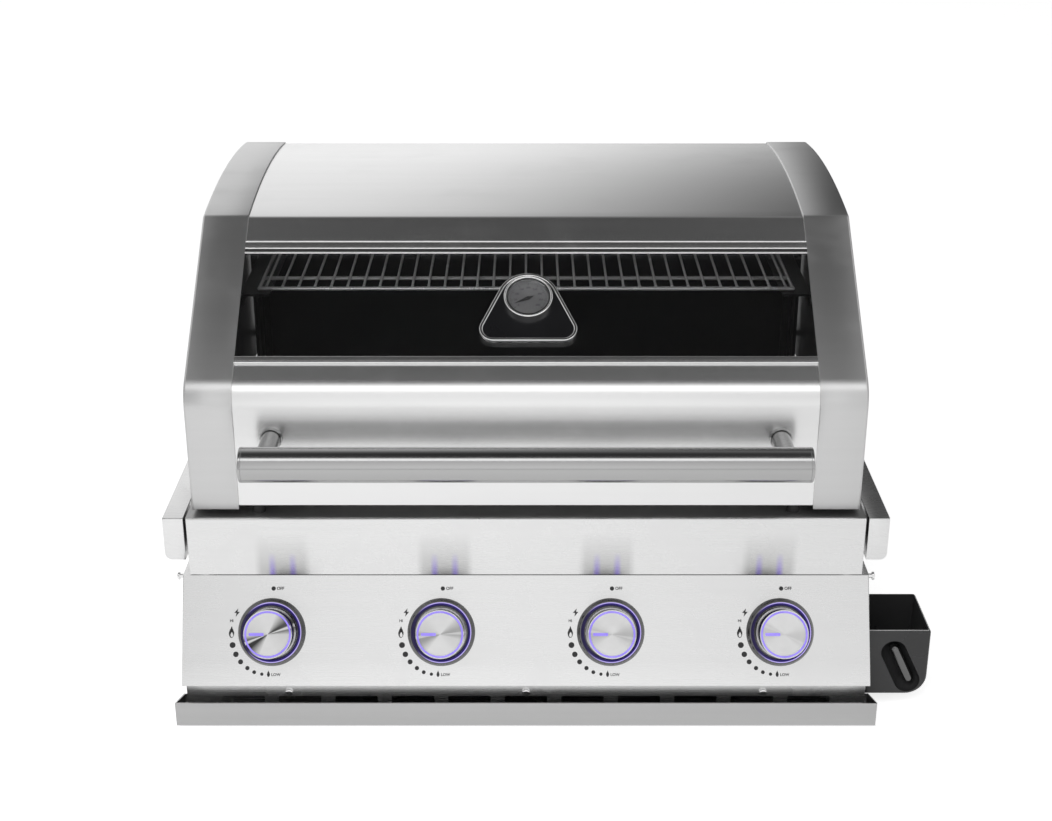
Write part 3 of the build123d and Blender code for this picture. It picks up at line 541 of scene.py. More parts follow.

# Two dark fans of painted reflection lie on each turned face, a wide one with a sharp lower side
# and a slim one under it; they stand in for the dark parts of the room that the circular lines draw
# out.
# They ride with the knob, and they sit further round and fade from left to right.
KNOB_PITCH = 0.1912
tree = KNOB_METAL.node_tree
turned = axes_of(tree, node(tree, "ShaderNodeUVMap", uv_map="UVMap").outputs[0])["X"]
side = axes_of(tree, body_place(tree))["X"]
knobs_along = times(tree, maths(tree, "ADD", side, 1.5 * KNOB_PITCH), 1 / KNOB_PITCH)
half_turns = maths(tree, "ADD", times(tree, turned, 50 / pi), 4.0)
share = maths(tree, "FRACT", maths(tree, "ADD", half_turns, times(tree, knobs_along, 0.083)))
painted_wide_reflection = times(tree, spread(tree, share, 0.125, 0.145), spread(tree, share, 0.19, 0.38, 1.0, 0.0))
painted_slim_reflection = times(tree, spread(tree, share, 0.01, 0.075, 0.0, 0.75),
                 spread(tree, share, 0.085, 0.1, 1.0, 0.0))
paint_over(tree, times(tree, maths(tree, "MAXIMUM", painted_wide_reflection, painted_slim_reflection),
                       maths(tree, "POWER", 0.45, knobs_along)), grey(0.07))

# Soft smears painted on the upright face stand in for the mirror images of the knobs, with a violet
# streak at each side of them for their light.
SMEAR_PITCH = 0.183
tree = FASCIA_STEEL.node_tree
across, _, up = axes_of(tree, body_place(tree))
step = maths(tree, "FRACT", times(tree, maths(tree, "ADD", across, 4 * SMEAR_PITCH),
                                  1 / SMEAR_PITCH))
apart = maths(tree, "ABSOLUTE", times(tree, maths(tree, "SUBTRACT", step, 0.5), SMEAR_PITCH))
beside = maths(tree, "ABSOLUTE", maths(tree, "SUBTRACT", apart, 0.0115))
paint_over(tree, times(tree, spread(tree, apart, 0.024, 0.032, 1.0, 0.0),
                       spread(tree, up, 0.172, 0.225, 0.38, 0.0)), grey(0.2))
paint_over(tree, times(tree, spread(tree, beside, 0.001, 0.005, 1.0, 0.0),
                       spread(tree, up, 0.173, 0.2, 0.75, 0.0)), (0.36, 0.27, 0.85, 1))


# %% [markdown]
# ### Black, glass, light and rubber
# The plastics get a faint moulded grain and uneven gloss. The glass is clear with a trace of haze.
# The light rings glow on their own.

# %% Plastics, glass and the lit rings
def moulded(name, colour, rough, bump=0.1):
    material, tree, shader = new_material(name)
    place = body_place(tree)
    cloud = noise(tree, place, 18.0, 4.0)
    low = [c * 0.8 for c in colour] + [1]
    high = [min(1.0, c * 1.25) for c in colour] + [1]
    feed(tree, shader.inputs, {
        "Base Color": tint(tree, cloud, low, high),
        "Roughness": spread(tree, cloud, 0.35, 0.7, rough, rough + 0.08),
        "Normal": relief(tree, noise(tree, place, 900.0, 2.0), bump, 0.0001)})
    return material


def clear(name, ior, colours, gloss, scale, detail, **more):
    material, tree, shader = new_material(name, Roughness=0.02, Transmission_Weight=1.0, IOR=ior)
    haze = noise(tree, body_place(tree), scale, detail, **more)
    feed(tree, shader.inputs, {"Base Color": tint(tree, haze, *colours),
                               "Roughness": spread(tree, haze, 0.4, 0.8, *gloss)})
    return material


# A light grey for the black box's rim: a painted highlight standing in for the light its rounded
# edge catches.
CATCHER_RIM_HIGHLIGHT = moulded("catcher_rim_gloss", (0.45, 0.45, 0.45), 0.2, bump=0.0)
CATCHER_BLACK = moulded("catcher_gloss_black", (0.032, 0.032, 0.033), 0.26, bump=0.02)
CLAW_BLACK = metal("claw_black", 0.16, 0.16, marks=0.03)
PLATE_BLACK = moulded("badge_black", (0.006, 0.006, 0.007), 0.25, bump=0.05)
RUBBER = moulded("bumper_rubber", (0.02, 0.02, 0.02), 0.7, bump=0.3)
DIAL_GREY = moulded("dial_grey", (0.16, 0.16, 0.165), 0.4, bump=0.05)
NEEDLE_DARK = moulded("needle_dark", (0.02, 0.02, 0.02), 0.3)
CERAMIC = moulded("electrode_white", (0.75, 0.73, 0.68), 0.3)
SUPPLY_PLASTIC = moulded("supply_plastic", (0.03, 0.03, 0.032), 0.5)
PRINT_GREY = moulded("printed_grey", (0.02, 0.02, 0.021), 0.5, bump=0.0)
WINDOW_GLASS = clear("window_black", 1.5, ((0.92, 0.92, 0.925, 1), (0.97, 0.97, 0.975, 1)),
                     (0.015, 0.06), 9.0, 5.0, Distortion=0.5)
LENS_GLASS = clear("lens_clear", 1.45, (grey(0.95), grey(1.0)), (0.01, 0.04), 90.0, 3.0)

LIGHT_VIOLET, tree, shader = new_material("light_violet", Roughness=0.25, Emission_Strength=1.0)
places = node(tree, "ShaderNodeTexCoord").outputs
dots = noise(tree, places["Object"], 70.0, 2.0)
around, radius, _ = axes_of(tree, places["UV"])
deep = tint(tree, dots, (0.008, 0.003, 0.09, 1), (0.02, 0.009, 0.17, 1))
band = tint(tree, spread(tree, radius, 0.0366, 0.0379), (0.002, 0.001, 0.012, 1), deep)
lit = tint(tree, spread(tree, radius, 0.0393, 0.0396), band, (0.55, 0.46, 0.95, 1))
dim = spread(tree, maths(tree, "ABSOLUTE", around), 0.038, 0.050)
feed(tree, shader.inputs, {
    "Emission Color": tint(tree, dim, lit, (0.008, 0.006, 0.02, 1)),
    "Base Color": tint(tree, dots, (0.02, 0.015, 0.06, 1), (0.03, 0.025, 0.09, 1))})

HALO_LIGHT, tree, shader = new_material("halo_light", Roughness=0.35, Emission_Strength=1.0)
dots = noise(tree, body_place(tree), 90.0, 2.0)
feed(tree, shader.inputs, {
    "Base Color": tint(tree, dots, (0.03, 0.02, 0.08, 1), (0.05, 0.04, 0.12, 1)),
    "Emission Color": tint(tree, dots, (0.22, 0.16, 0.78, 1), (0.42, 0.34, 1.0, 1))})

# %% Every CAD node takes its finish
FINISHES = {
    "hood_steel": HOOD_STEEL, "cap_steel": CAP_STEEL, "panel_steel": PANEL_STEEL,
    "tray_steel": DARKENED_TRAY_STEEL, "trim_steel": TRIM_STEEL, "handle_steel": HANDLE_STEEL,
    "chrome": CHROME, "knob_metal": KNOB_METAL, "window_black": WINDOW_GLASS,
    "lens_clear": LENS_GLASS, "plate_black": PLATE_BLACK, "dial_grey": DIAL_GREY,
    "needle_dark": NEEDLE_DARK, "light_violet": LIGHT_VIOLET, "inner_steel": INNER_STEEL,
    "liner_steel": LINER_STEEL, "grate_steel": GRATE_STEEL, "rack_chrome": RACK_CHROME,
    "gas_brass": BRASS, "stem_steel": STEM_STEEL, "pipe_steel": PIPE_STEEL,
    "electrode_white": CERAMIC, "bumper_rubber": RUBBER, "catcher_black": CATCHER_BLACK,
    "claw_black": CLAW_BLACK, "supply_plastic": SUPPLY_PLASTIC,
}
for part in frame["nodes"].values():
    for place in part.material_slots:
        place.material = FINISHES[place.material.name.split(".")[0]]
for place in frame["nodes"]["firebox_shell"].material_slots:
    place.material = SHELL_STEEL
print("finishes", len(FINISHES))


# %% [markdown]
# ### Handing a piece over
# A new piece gets its UV map along the grain, smooth shading, its finish, its body, and the CAD
# nodes that it stands for.

# %% Dressing a piece
def lay_grain(piece):
    while piece.data.uv_layers:
        piece.data.uv_layers.remove(piece.data.uv_layers[0])
    piece.data.uv_layers.new(name="UVMap")
    reopen(piece)
    bpy.ops.uv.cube_project(cube_size=1.0, correct_aspect=False)
    only(piece)


def dress(piece, finish, slot, body, *nodes, angle=35, round_laid=False):
    if not round_laid:
        lay_grain(piece)
    only(piece)
    bpy.ops.object.shade_smooth_by_angle(angle=radians(angle))
    if not piece.data.materials:
        piece.data.materials.append(finish)
    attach(piece, body)
    if nodes:
        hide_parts(*nodes)
    print(piece.name, len(piece.data.polygons))


# %% [markdown]
# ## The hood
# The real hood is one sheet pressed round a profile: up the front, round a bend, up the window
# slope, a crisp fold, over a shallow crown and round the back. Spin makes true bends, so the sheet
# is grown edge by edge: straight runs are extruded and bends are spun.

# %% Growing a sheet along a profile
HOOD_HALF = 374.0
CAP_INNER = 321.0
HOOD_DEPTH = 528.0
BEND, REAR_BEND = 36.0, 22.0
WINDOW_LOW, WINDOW_HIGH = 41, 188
FOLD = (SLOPE_LENGTH * cos(SLOPE), CORNER + SLOPE_LENGTH * sin(SLOPE))
TOP_BACK = (HOOD_DEPTH - REAR_BEND, FOLD[1] + 7.5)
CREST = (FOLD[0] + (TOP_BACK[0] - FOLD[0]) * 0.56, FOLD[1] + 15.5)
BEND_FOOT = CORNER - BEND * tan((pi / 2 - SLOPE) / 2)


def circle_through(a, b, c):
    """The centre of the circle through three places in the side view."""
    d = 2 * (a[0] * (b[1] - c[1]) + b[0] * (c[1] - a[1]) + c[0] * (a[1] - b[1]))
    squares = [p[0] ** 2 + p[1] ** 2 for p in (a, b, c)]
    y = sum(s * k for s, k in zip(squares, (b[1] - c[1], c[1] - a[1], a[1] - b[1]))) / d
    z = sum(s * k for s, k in zip(squares, (c[0] - b[0], a[0] - c[0], b[0] - a[0]))) / d
    return y, z


def grow_sheet(name, x_low, x_high, start, steps):
    """A sheet across the width: each step goes straight to a place or turns round a centre."""
    y, z = start
    piece = begin(name, bpy.ops.mesh.primitive_plane_add, size=1,
                  location=at((x_low + x_high) / 2, y + 0.5, z),
                  scale=((x_high - x_low) * MM, MM, 1))
    choose("EDGE", lambda p, e: p.y > y + 0.9)
    slide(0, steps[0][1] - y - 1, steps[0][2] - z)
    y, z = steps[0][1:3]
    for step in steps[1:]:
        if step[0] == "to":
            extrude(0, step[1] - y, step[2] - z)
            y, z = step[1:3]
        else:
            centre, angle, count = step[1:]
            bpy.ops.mesh.spin(steps=count, angle=angle, center=at(0, *centre), axis=(1, 0, 0))
            dy, dz = y - centre[0], z - centre[1]
            y = centre[0] + dy * cos(angle) + dz * sin(angle)
            z = centre[1] - dy * sin(angle) + dz * cos(angle)
    only(piece)
    return piece


def hood_steps(proud, low):
    """The hood's profile, moved out by so much, from its lower edge to the rear lip."""
    crown = circle_through(FOLD, CREST, TOP_BACK)
    out = (FOLD[0] - crown[0], FOLD[1] - crown[1])
    reach = hypot(*out)
    crown_way = (out[0] / reach, out[1] / reach)
    slope_way = (-sin(SLOPE), cos(SLOPE))
    both = (crown_way[0] + slope_way[0], crown_way[1] + slope_way[1])
    share = proud * 2 / (both[0] ** 2 + both[1] ** 2)
    fold = (FOLD[0] + both[0] * share, FOLD[1] + both[1] * share)
    start_turn = atan2(fold[0] - crown[0], fold[1] - crown[1])
    end_turn = atan2(TOP_BACK[0] - crown[0], TOP_BACK[1] - crown[1])
    return [
        ("to", -proud, low),
        ("to", -proud, BEND_FOOT),
        ("turn", (BEND, BEND_FOOT), pi / 2 - SLOPE, 12),
        ("to", *fold),
        ("turn", crown, end_turn - start_turn, 20),
        ("turn", (TOP_BACK[0], TOP_BACK[1] - REAR_BEND), pi / 2, 10),
        ("to", HOOD_DEPTH + proud, TOP_BACK[1] - 45),
    ], fold


# %% [markdown]
# ### Front skin
# The skin lies between the two side caps. Its window is cut with four bisects that divide the
# faces, and the faces inside are deleted; then the sheet gets its thickness inward.

# %% Hood skin
steps, fold = hood_steps(0, 0)
skin = grow_sheet("hood_sheet", -372, 372, (15, 0), steps)
reopen(skin)
choose("EDGE", lambda p, e: abs(p.y - fold[0]) < 0.1 and abs(p.z - fold[1]) < 0.1)
bevel(2.5, 4)
choose("EDGE", lambda p, e: abs(p.y) < 0.1 and abs(p.z) < 0.1)
bevel(1.8, 3)
up_way = (0, cos(SLOPE), sin(SLOPE))
score((at(-CAP_INNER, 0, 0), (1, 0, 0)), (at(CAP_INNER, 0, 0), (1, 0, 0)),
      (on_slope(0, WINDOW_LOW, 0), up_way), (on_slope(0, WINDOW_HIGH, 0), up_way))
delete_faces(lambda p, f: abs(p.x) < CAP_INNER and WINDOW_LOW < up_slope(p) < WINDOW_HIGH
             and p.z < FOLD[1] and abs(off_slope(p)) < 1)
thicken(skin, SHEET)
dress(skin, HOOD_STEEL, "hood_steel", "hood", "hood_skin")

# %% [markdown]
# ### Side caps
# Each cap is a shallow pan: a band that wraps over the skin, 2 proud of it, and a flat side wall.
# The rim between them is rolled, which gives the bright line down the hood's edge.

# %% Side caps
steps, fold = hood_steps(2, -3)
cap = grow_sheet("side_cap_right", CAP_INNER, HOOD_HALF, (-2, -4), steps + [("to", 530.0, -3.0)])
reopen(cap)
bpy.ops.mesh.remove_doubles(threshold=0.00001)
choose("EDGE", lambda p, e: p.x > HOOD_HALF - 0.01)
bpy.ops.mesh.edge_face_add()
choose("FACE", lambda p, f: p.z < -3.01)
if [f for f in bmesh.from_edit_mesh(cap.data).faces if f.select]:
    bpy.ops.mesh.delete(type="FACE")
choose("EDGE", lambda p, e: abs(p.y - fold[0]) < 0.1 and abs(p.z - fold[1]) < 0.1 and p.x < 370)
bevel(2.5, 4)
choose("EDGE", lambda p, e: p.x > HOOD_HALF - 0.01 and len(e.link_faces) == 2
       and not (p.y > 529 and p.z < 240))
bevel(3.0, 4)
delete_faces(lambda p, f: p.y > 529 and p.z < 240 and f.normal.y > 0.9)
thicken(cap, 2.0)
soften(cap, 0.5, 2, 60)
outward(cap)
reopen(cap)
# The cap's inner wall is split off and takes the near-black steel, which is painted shade.
choose("FACE", lambda p, f: f.normal.x < -0.9 and p.x > 365)
lining = part_off(cap, "cap_lining_right")
dress(other_side(lining, "cap_lining_left"), SHADE_BLACK_STEEL, "cap_steel", "hood")
dress(lining, SHADE_BLACK_STEEL, "cap_steel", "hood")
left_cap = other_side(cap, "side_cap_left")
dress(cap, CAP_STEEL, "cap_steel", "hood", "hood_side_right")
dress(left_cap, CAP_STEEL, "cap_steel", "hood", "hood_side_left")


# %% [markdown]
# ### Window trims
# Two folded strips hold the glass. The lower one is a flat band with a raised lip at its foot, the
# upper one a wide band with a thin bead below it, and between them lies the dark gap of the seal.

# %% Window trims
def strip(name, t_low, t_high, low, high, round_off):
    piece = cube(name, (2 * CAP_INNER, t_high - t_low, high - low),
                 on_slope(0, (t_low + t_high) / 2, (low + high) / 2), SLOPE_TURN)
    choose("EDGE", lambda p, e: abs(p.x) < 1 and off_slope(p) > high - 0.05)
    bevel(round_off, 4)
    only(piece)
    return piece


low_band = join(strip("lower_trim", 37.2, 46.6, -0.4, 2.6, 1.2),
                strip("lip", 37.2, 40.0, 1, 3.5, 0.8))
dress(low_band, TRIM_STEEL, "trim_steel", "hood", "window_trim_bottom")
top_band = join(strip("upper_trim", 190.5, 201.8, -0.4, 2.6, 1.1),
                strip("upper_lip", 199.4, 201.8, 1, 3.4, 0.9),
                strip("bead", 184.7, 187.5, -0.4, 1.7, 1.0))
dress(top_band, TRIM_STEEL, "trim_steel", "hood", "window_trim_top")
seal = strip("window_seal", 187.5, 190.5, -1.4, 0.9, 0.1)
dress(seal, RUBBER, "bumper_rubber", "hood")

# %% [markdown]
# ### Handle
# A brushed tube with a pressed disc at each end, on two round posts. The tube's ends get a small
# bevel, the discs a step and a rolled rim.

# %% Handle
BAR = (-70.6, 83.4)
TUBE = 19
SIDEWAYS = (0, pi / 2, 0)
bar = cylinder("handle_tube", TUBE, 602, at(0, *BAR), SIDEWAYS, 96)
choose("EDGE", lambda p, e: abs(p.x) > 300.9 and len({round(v.co.x, 5) for v in e.verts}) == 1
       and len(e.link_faces) == 2)
bevel(0.5, 2)
reopen(bar)
choose("EDGE", lambda p, e: abs(p.x) < 1 and abs(p.y - BAR[0]) < 1 and p.z < BAR[1])
bpy.ops.mesh.mark_seam(clear=False)
only(bar)
disc = cylinder("handle_disc", TUBE, 3, at(302.5, *BAR), SIDEWAYS, 96)
choose("FACE", lambda p, f: f.normal.x > 0.9)
inset(2.6)
inset(0.8, -0.6)
choose("EDGE", lambda p, e: p.x > 303.9 and hypot(p.y - BAR[0], p.z - BAR[1]) > TUBE - 0.5)
bevel(1.2, 4)
only(disc)
ends = join(disc, other_side(disc, "other_disc"))
ends.name = "handle_ends"
dress(bar, HANDLE_STEEL, "handle_steel", "hood", "handle_bar", angle=20)
dress(ends, HANDLE_STEEL, "handle_steel", "hood", "handle_end_caps", angle=20)
POST_FOOT = at(280, 0, BAR[1])
post = cylinder("handle_post", 10.7, 54, at(280, -27, BAR[1]), (pi / 2, 0, 0))
delete_faces(lambda p, f: f.normal.y > 0.9)
choose("EDGE", lambda p, e: p.y > -0.5 and len(e.link_faces) == 1)
extrude(0, -0.3, 0)
stretch(1.16, 1, 1.16, center_override=POST_FOOT)
extrude(0, -3.2, 0)
extrude(0, -0.6, 0)
stretch(0.9, 1, 0.9, center_override=POST_FOOT)
outward(post)
posts = join(post, other_side(post, "other_post"))
posts.name = "handle_posts_turned"
dress(posts, POST_STEEL, "chrome", "hood", "handle_posts")

# %% [markdown]
# ### Badge and thermometer
# The plate is a rounded triangle: three discs whose convex hull gives the outline. A bright border
# surrounds a sunken black field. The gauge stands on it: ring, dial, needle and lens.

# %% Badge plate
BADGE_X = 2.5
GAUGE_T = 121.1


def slope_disc(name, x, t, low, high, radius, count=64):
    return cylinder(name, radius, high - low, on_slope(x, t, (low + high) / 2), SLOPE_TURN, count)


discs = []
for x, t, radius in ((0, GAUGE_T, 35), (-38.5, 82, 16), (38.5, 82, 16)):
    discs.append(slope_disc("badge_border", BADGE_X + x, t, -1.5, 3.5, radius))
plate = join(*discs)
reopen(plate)
bpy.ops.mesh.convex_hull()
bpy.ops.mesh.dissolve_limited(angle_limit=radians(0.5))
choose("FACE", lambda p, f: off_slope(p) > 3.4 and f.normal.z > 0.7)
inset(3.6)
inset(0.3, -0.9)
field = part_off(plate, "badge_field")
soften(plate, 0.9, 3, 50)
dress(plate, CHROME, "chrome", "hood", "thermometer_plate")
dress(field, PLATE_BLACK, "plate_black", "hood")

# %% Thermometer ring, dial, needle and lens
ring = slope_disc("gauge_ring", BADGE_X, GAUGE_T, 2.7, 9.9, 27.5, 96)
choose("FACE", lambda p, f: off_slope(p) > 9.8)
inset(2.1)
inset(0.5, -1.2)
inset(1.6)
inset(0.4, -5.2)
bpy.ops.mesh.delete(type="FACE")
choose("EDGE", lambda p, e: off_slope(p) > 9.8 and hypot(p.x - BADGE_X, up_slope(p) - GAUGE_T) > 27)
bevel(1.4, 5)
choose("EDGE", lambda p, e: off_slope(p) > 9.8 and hypot(p.x - BADGE_X, up_slope(p) - GAUGE_T) < 26)
bevel(0.5, 3)
only(ring)
dress(ring, CHROME, "chrome", "hood", "thermometer_bezel", angle=30)

dial = slope_disc("dial_plate", BADGE_X, GAUGE_T, 3.1, 3.9, 22.8, 96)
choose("FACE", lambda p, f: off_slope(p) > 3.8)
inset(7.5)
inset(0.3, -0.15)
only(dial)
dress(dial, DIAL_GREY, "dial_grey", "hood", "thermometer_dial")


def lettering(body, size, thickness, **settings):
    """Words at the origin as a mesh."""
    only()
    bpy.ops.object.text_add()
    letters = bpy.context.object.data
    letters.body, letters.size, letters.extrude = body, size * MM, thickness * MM
    letters.align_y = "CENTER"
    for key, value in settings.items():
        setattr(letters, key, value)
    bpy.ops.object.convert(target="MESH")
    return bpy.context.object


def gauge_spot(radius, angle, h):
    return on_slope(BADGE_X + radius * sin(angle), GAUGE_T + radius * cos(angle), h)


ticks = []
for i in range(41):
    angle = radians(-130 + 260 * i / 40)
    long = 3.2 if i % 5 == 0 else 1.7
    wide = 0.5 if i % 5 == 0 else 0.28
    tick = cube("dial_marks", (wide, long, 0.1))
    choose("FACE", lambda p, f: f.normal.z > 0.9)
    inset(0.06, 0.02)
    only(tick)
    move_to(tick, (0, 0, 0), (0, 0, -angle))
    move_to(tick, gauge_spot(20.8 - long / 2, angle, 3.95), SLOPE_TURN)
    ticks.append(tick)
for i in range(9):
    angle = radians(-130 + 260 * i / 8)
    number = lettering(str(50 * i), 3.3, 0.05, align_x="CENTER")
    move_to(number, gauge_spot(14.2, angle, 3.95), SLOPE_TURN)
    ticks.append(number)
marks = join(*ticks)
dress(marks, NEEDLE_DARK, "needle_dark", "hood")

needle = cylinder("gauge_needle", 2.3, 0.5, (0, 0, 0.25 * MM), count=4)
choose("VERT", lambda p, v: v.co.y > 1.5 * MM)
slide(0, 14.7, 0)
choose("VERT", lambda p, v: v.co.y < -1.5 * MM)
slide(0, -4.7, 0)
choose("FACE", lambda p, f: f.normal.z > 0.9)
inset(0.3, 0.15)
only(needle)
hub = cylinder("needle_hub", 2, 1, (0, 0, 0.5 * MM), count=32)
choose("FACE", lambda p, f: f.normal.z > 0.9)
inset(0.4, 0.15)
only(hub)
move_to(needle, (0, 0, 0), (0, 0, radians(205 - 90)))
needle = join(needle, hub)
move_to(needle, on_slope(BADGE_X, GAUGE_T, 4.5), SLOPE_TURN)
dress(needle, NEEDLE_DARK, "needle_dark", "thermometer_pointer", "thermometer_needle")


# %% [markdown]
# ## The front
# Below the hood come the ledge with its fascia, the flanges that hang the grill in the counter, the
# tilted control panel, the slotted vent plate in its shade and the drip tray.

# %% Fascia
fascia = box_piece("fascia", (-380, 380), (FASCIA_FRONT, 45), (FASCIA_FOOT, LEDGE))
delete_faces(lambda p, f: f.normal.y > 0.9 or f.normal.z < -0.9)
choose("EDGE", lambda p, e: abs(p.x) < 1 and p.y < -12 and p.z > -10)
bevel(2.0, 4)
choose("EDGE", lambda p, e: abs(p.x) > 379 and p.y < -11.5 and len(e.link_faces) == 2)
bevel(1.0, 3)
only(fascia)
thicken(fascia, SHEET)
reopen(fascia)
# The ledge under the hood's lower edge is split off to take that darker steel, which is painted
# shade.
choose("FACE", lambda p, f: p.z > -11.1 and abs(f.normal.z) > 0.9 and p.y > -9)
ledge = part_off(fascia, "ledge_sheet")
dress(fascia, FASCIA_STEEL, "panel_steel", "chassis", "front_fascia")
dress(ledge, SHADED_LEDGE_STEEL, "panel_steel", "chassis")

# %% [markdown]
# ### Side flanges
# A flat rests on the counter, a web closes the side of the box and a lip with a rounded corner
# hides the counter's edge. It starts as one flat plane; its edges are extruded in and down.

# %% Side flanges
flange = begin("flange_right", bpy.ops.mesh.primitive_plane_add, size=1,
               scale=(23 * MM, 474.4 * MM, 1), location=at(394.5, 224.8, LEDGE))
score(*((at(0, y, 0), (0, 1, 0)) for y in (48, 83)))
choose("EDGE", lambda p, e: abs(p.x - 383) < 0.1 and p.y > 48.1)
extrude(-13, 0, 0)
choose("EDGE", lambda p, e: abs(p.x - 370) < 0.1 and p.y > 83.1)
extrude(0, 0, -49)
choose("EDGE", lambda p, e: p.y < -12 and p.x > 384)
extrude(0, 0, -51.5)
choose("EDGE", lambda p, e: abs(p.x - 383) < 0.1 and p.y < -12 and p.z < -20)
extrude(0, 56, 0)
choose("VERT", lambda p, v: p.z < -60 and p.x > 405)
bpy.ops.mesh.bevel(offset=8 * MM, segments=6, affect="VERTICES")
choose("EDGE", lambda p, e: abs(p.y - FASCIA_FRONT) < 0.01 and abs(p.z - LEDGE) < 0.01)
bevel(1.5, 4)
everything()
bpy.ops.mesh.normals_make_consistent(inside=False)
top = [f for f in bmesh.from_edit_mesh(flange.data).faces if abs(f.normal.z) > 0.9]
if top and top[0].normal.z < 0:
    bpy.ops.mesh.flip_normals()
only(flange)
thicken(flange, SHEET)
soften(flange, 0.3, 2, 60)
left_flange = other_side(flange, "flange_left")
dress(flange, PANEL_STEEL, "panel_steel", "chassis", "side_flange_right")
dress(left_flange, PANEL_STEEL, "panel_steel", "chassis", "side_flange_left")

# %% [markdown]
# ### Control panel
# A cube whose upper front edge is pulled back makes the tilt. Its hidden faces go, the sheet gets
# its thickness and four round holes are cut for the valves.

# %% Control panel
panel = box_piece("control_front", (-388, 388), (PANEL_FRONT, 80), (PANEL_FOOT, -80.9))
choose("EDGE", lambda p, e: abs(p.x) < 1 and p.y < -66 and p.z > -81)
slide(0, PANEL_RUN[0], 0)
score((at(-370, 0, 0), (1, 0, 0)), (at(370, 0, 0), (1, 0, 0)),
      (at(0, 45, 0), (0, 1, 0)), (at(0, -54.8, 0), (0, 1, 0)))
delete_faces(lambda p, f: (f.normal.y > 0.9 and p.y > 79 and abs(p.x) < 370)
             or (abs(f.normal.z) > 0.99 and p.y > 45 and abs(p.x) < 370)
             or (f.normal.z < -0.99 and p.y > -54.8))
choose("EDGE", lambda p, e: p.y < -66.7 and p.z < PANEL_FOOT + 0.1)
bevel(1.2, 3)
choose("EDGE", lambda p, e: abs(p.x) > 387 and -60 < p.y < -20 and len(e.link_faces) == 2
       and abs((e.verts[0].co - e.verts[1].co).normalized().z) > 0.5)
bevel(1.2, 3)
only(panel)
thicken(panel, SHEET)
for x in KNOB_XS:
    hole = cylinder("hole", 28, 12, on_panel(x), KNOB_TURN)
    only(hole)
    cut(panel, hole)
dress(panel, PANEL_STEEL, "panel_steel", "chassis", "control_panel")

# %% [markdown]
# ### Marks on the panel
# Dots that shrink from high to low, two flames, a spark and plain words for off, high and low are
# screen printed. Each is a thin slip of ink on the sheet, built once and copied to every knob.

# %% Printed marks
def ink(shape):
    """Gives a flat shape at the origin the thickness of a print."""
    reopen(shape)
    extrude(0, 0, 0.08)
    only(shape)
    return shape


def dot(x, down, radius):
    spot_of_ink = begin("panel_marks", bpy.ops.mesh.primitive_circle_add, vertices=24,
                        radius=radius * MM, fill_type="NGON")
    slide(x, -down, 0)
    return ink(spot_of_ink)


def flame(x, down, size, hollow):
    drop = begin("panel_marks", bpy.ops.mesh.primitive_circle_add, vertices=28,
                 radius=3.0 * MM, fill_type="NGON")
    local("VERT", lambda p, v: p.y > 0.9)
    stretch(0.82, 1.35, 1, center_override=(0, 0.9 * MM, 0))
    local("VERT", lambda p, v: p.y > 2.6)
    stretch(0.6, 1.5, 1, center_override=(0.3 * MM, 2.6 * MM, 0))
    local("VERT", lambda p, v: p.y > 4.2)
    stretch(0.25, 2.4, 1, center_override=(0.6 * MM, 4.2 * MM, 0))
    if hollow:
        everything()
        inset(1.0)
        slide(0.3, -1.0, 0)
        stretch(0.8, 0.75, 1, center_override=(0.3 * MM, -1.4 * MM, 0))
        bpy.ops.mesh.delete(type="FACE")
    everything()
    stretch(size, size * 1.75, 1, center_override=(0, 0, 0))
    slide(x, -down, 0)
    return ink(drop)


def set_on_panel(master, name, x, out=0.0):
    piece = copy_of(master, name)
    move_to(piece, on_panel(x, 0, out), KNOB_TURN)
    return piece


BOLT = ((1.4, 4.6), (-3.1, -0.3), (-0.5, -0.3), (-1.4, -4.6), (3.1, 0.8), (0.5, 0.8))


def bolt(x, down):
    """A six-sided circle whose corners are drawn out to a spark."""
    spark = begin("panel_marks", bpy.ops.mesh.primitive_circle_add, vertices=6, radius=3 * MM,
                  fill_type="NGON")
    for corner, place in zip(bmesh.from_edit_mesh(spark.data).verts, BOLT):
        corner.co = Vector((*place, 0)) * MM
    bmesh.update_edit_mesh(spark.data)
    bpy.ops.mesh.quads_convert_to_tris()
    slide(x, -down, 0)
    return ink(spark)


def word(text, x, down, size):
    letters = lettering(text, size, 0.04, offset=0.1 * MM, resolution_u=3)
    move_to(letters, (x * MM, -down * MM, 0.04 * MM))
    return letters


DOTS = ((-44.3, 14.6, 3.3), (-40.5, 25.0, 3.1), (-35.1, 33.4, 2.8), (-27.4, 40.4, 2.4),
        (-19.7, 45.0, 2.15), (-11.1, 47.2, 1.85), (1.6, -49.0, 2.4))
marks = [dot(*d) for d in DOTS]
marks += [flame(-45.6, 1.2, 1.0, True), flame(-3.6, 47.4, 0.55, False), bolt(-39.6, -21.9)]
marks += [word("OFF", 5.2, -49.0, 4.7), word("HI", -47.6, -12.6, 4.2),
          word("LOW", -0.4, 47.9, 4.4)]
sheet_of_marks = join(*marks)
prints = [set_on_panel(sheet_of_marks, "panel_print", x, 0.02) for x in KNOB_XS]
bpy.data.objects.remove(sheet_of_marks)
prints = join(*prints)
dress(prints, PRINT_GREY, "claw_black", "chassis")

# %% [markdown]
# ### Vent plate
# It stands in the shade under the panel, with a row of slots near its foot and three screws.

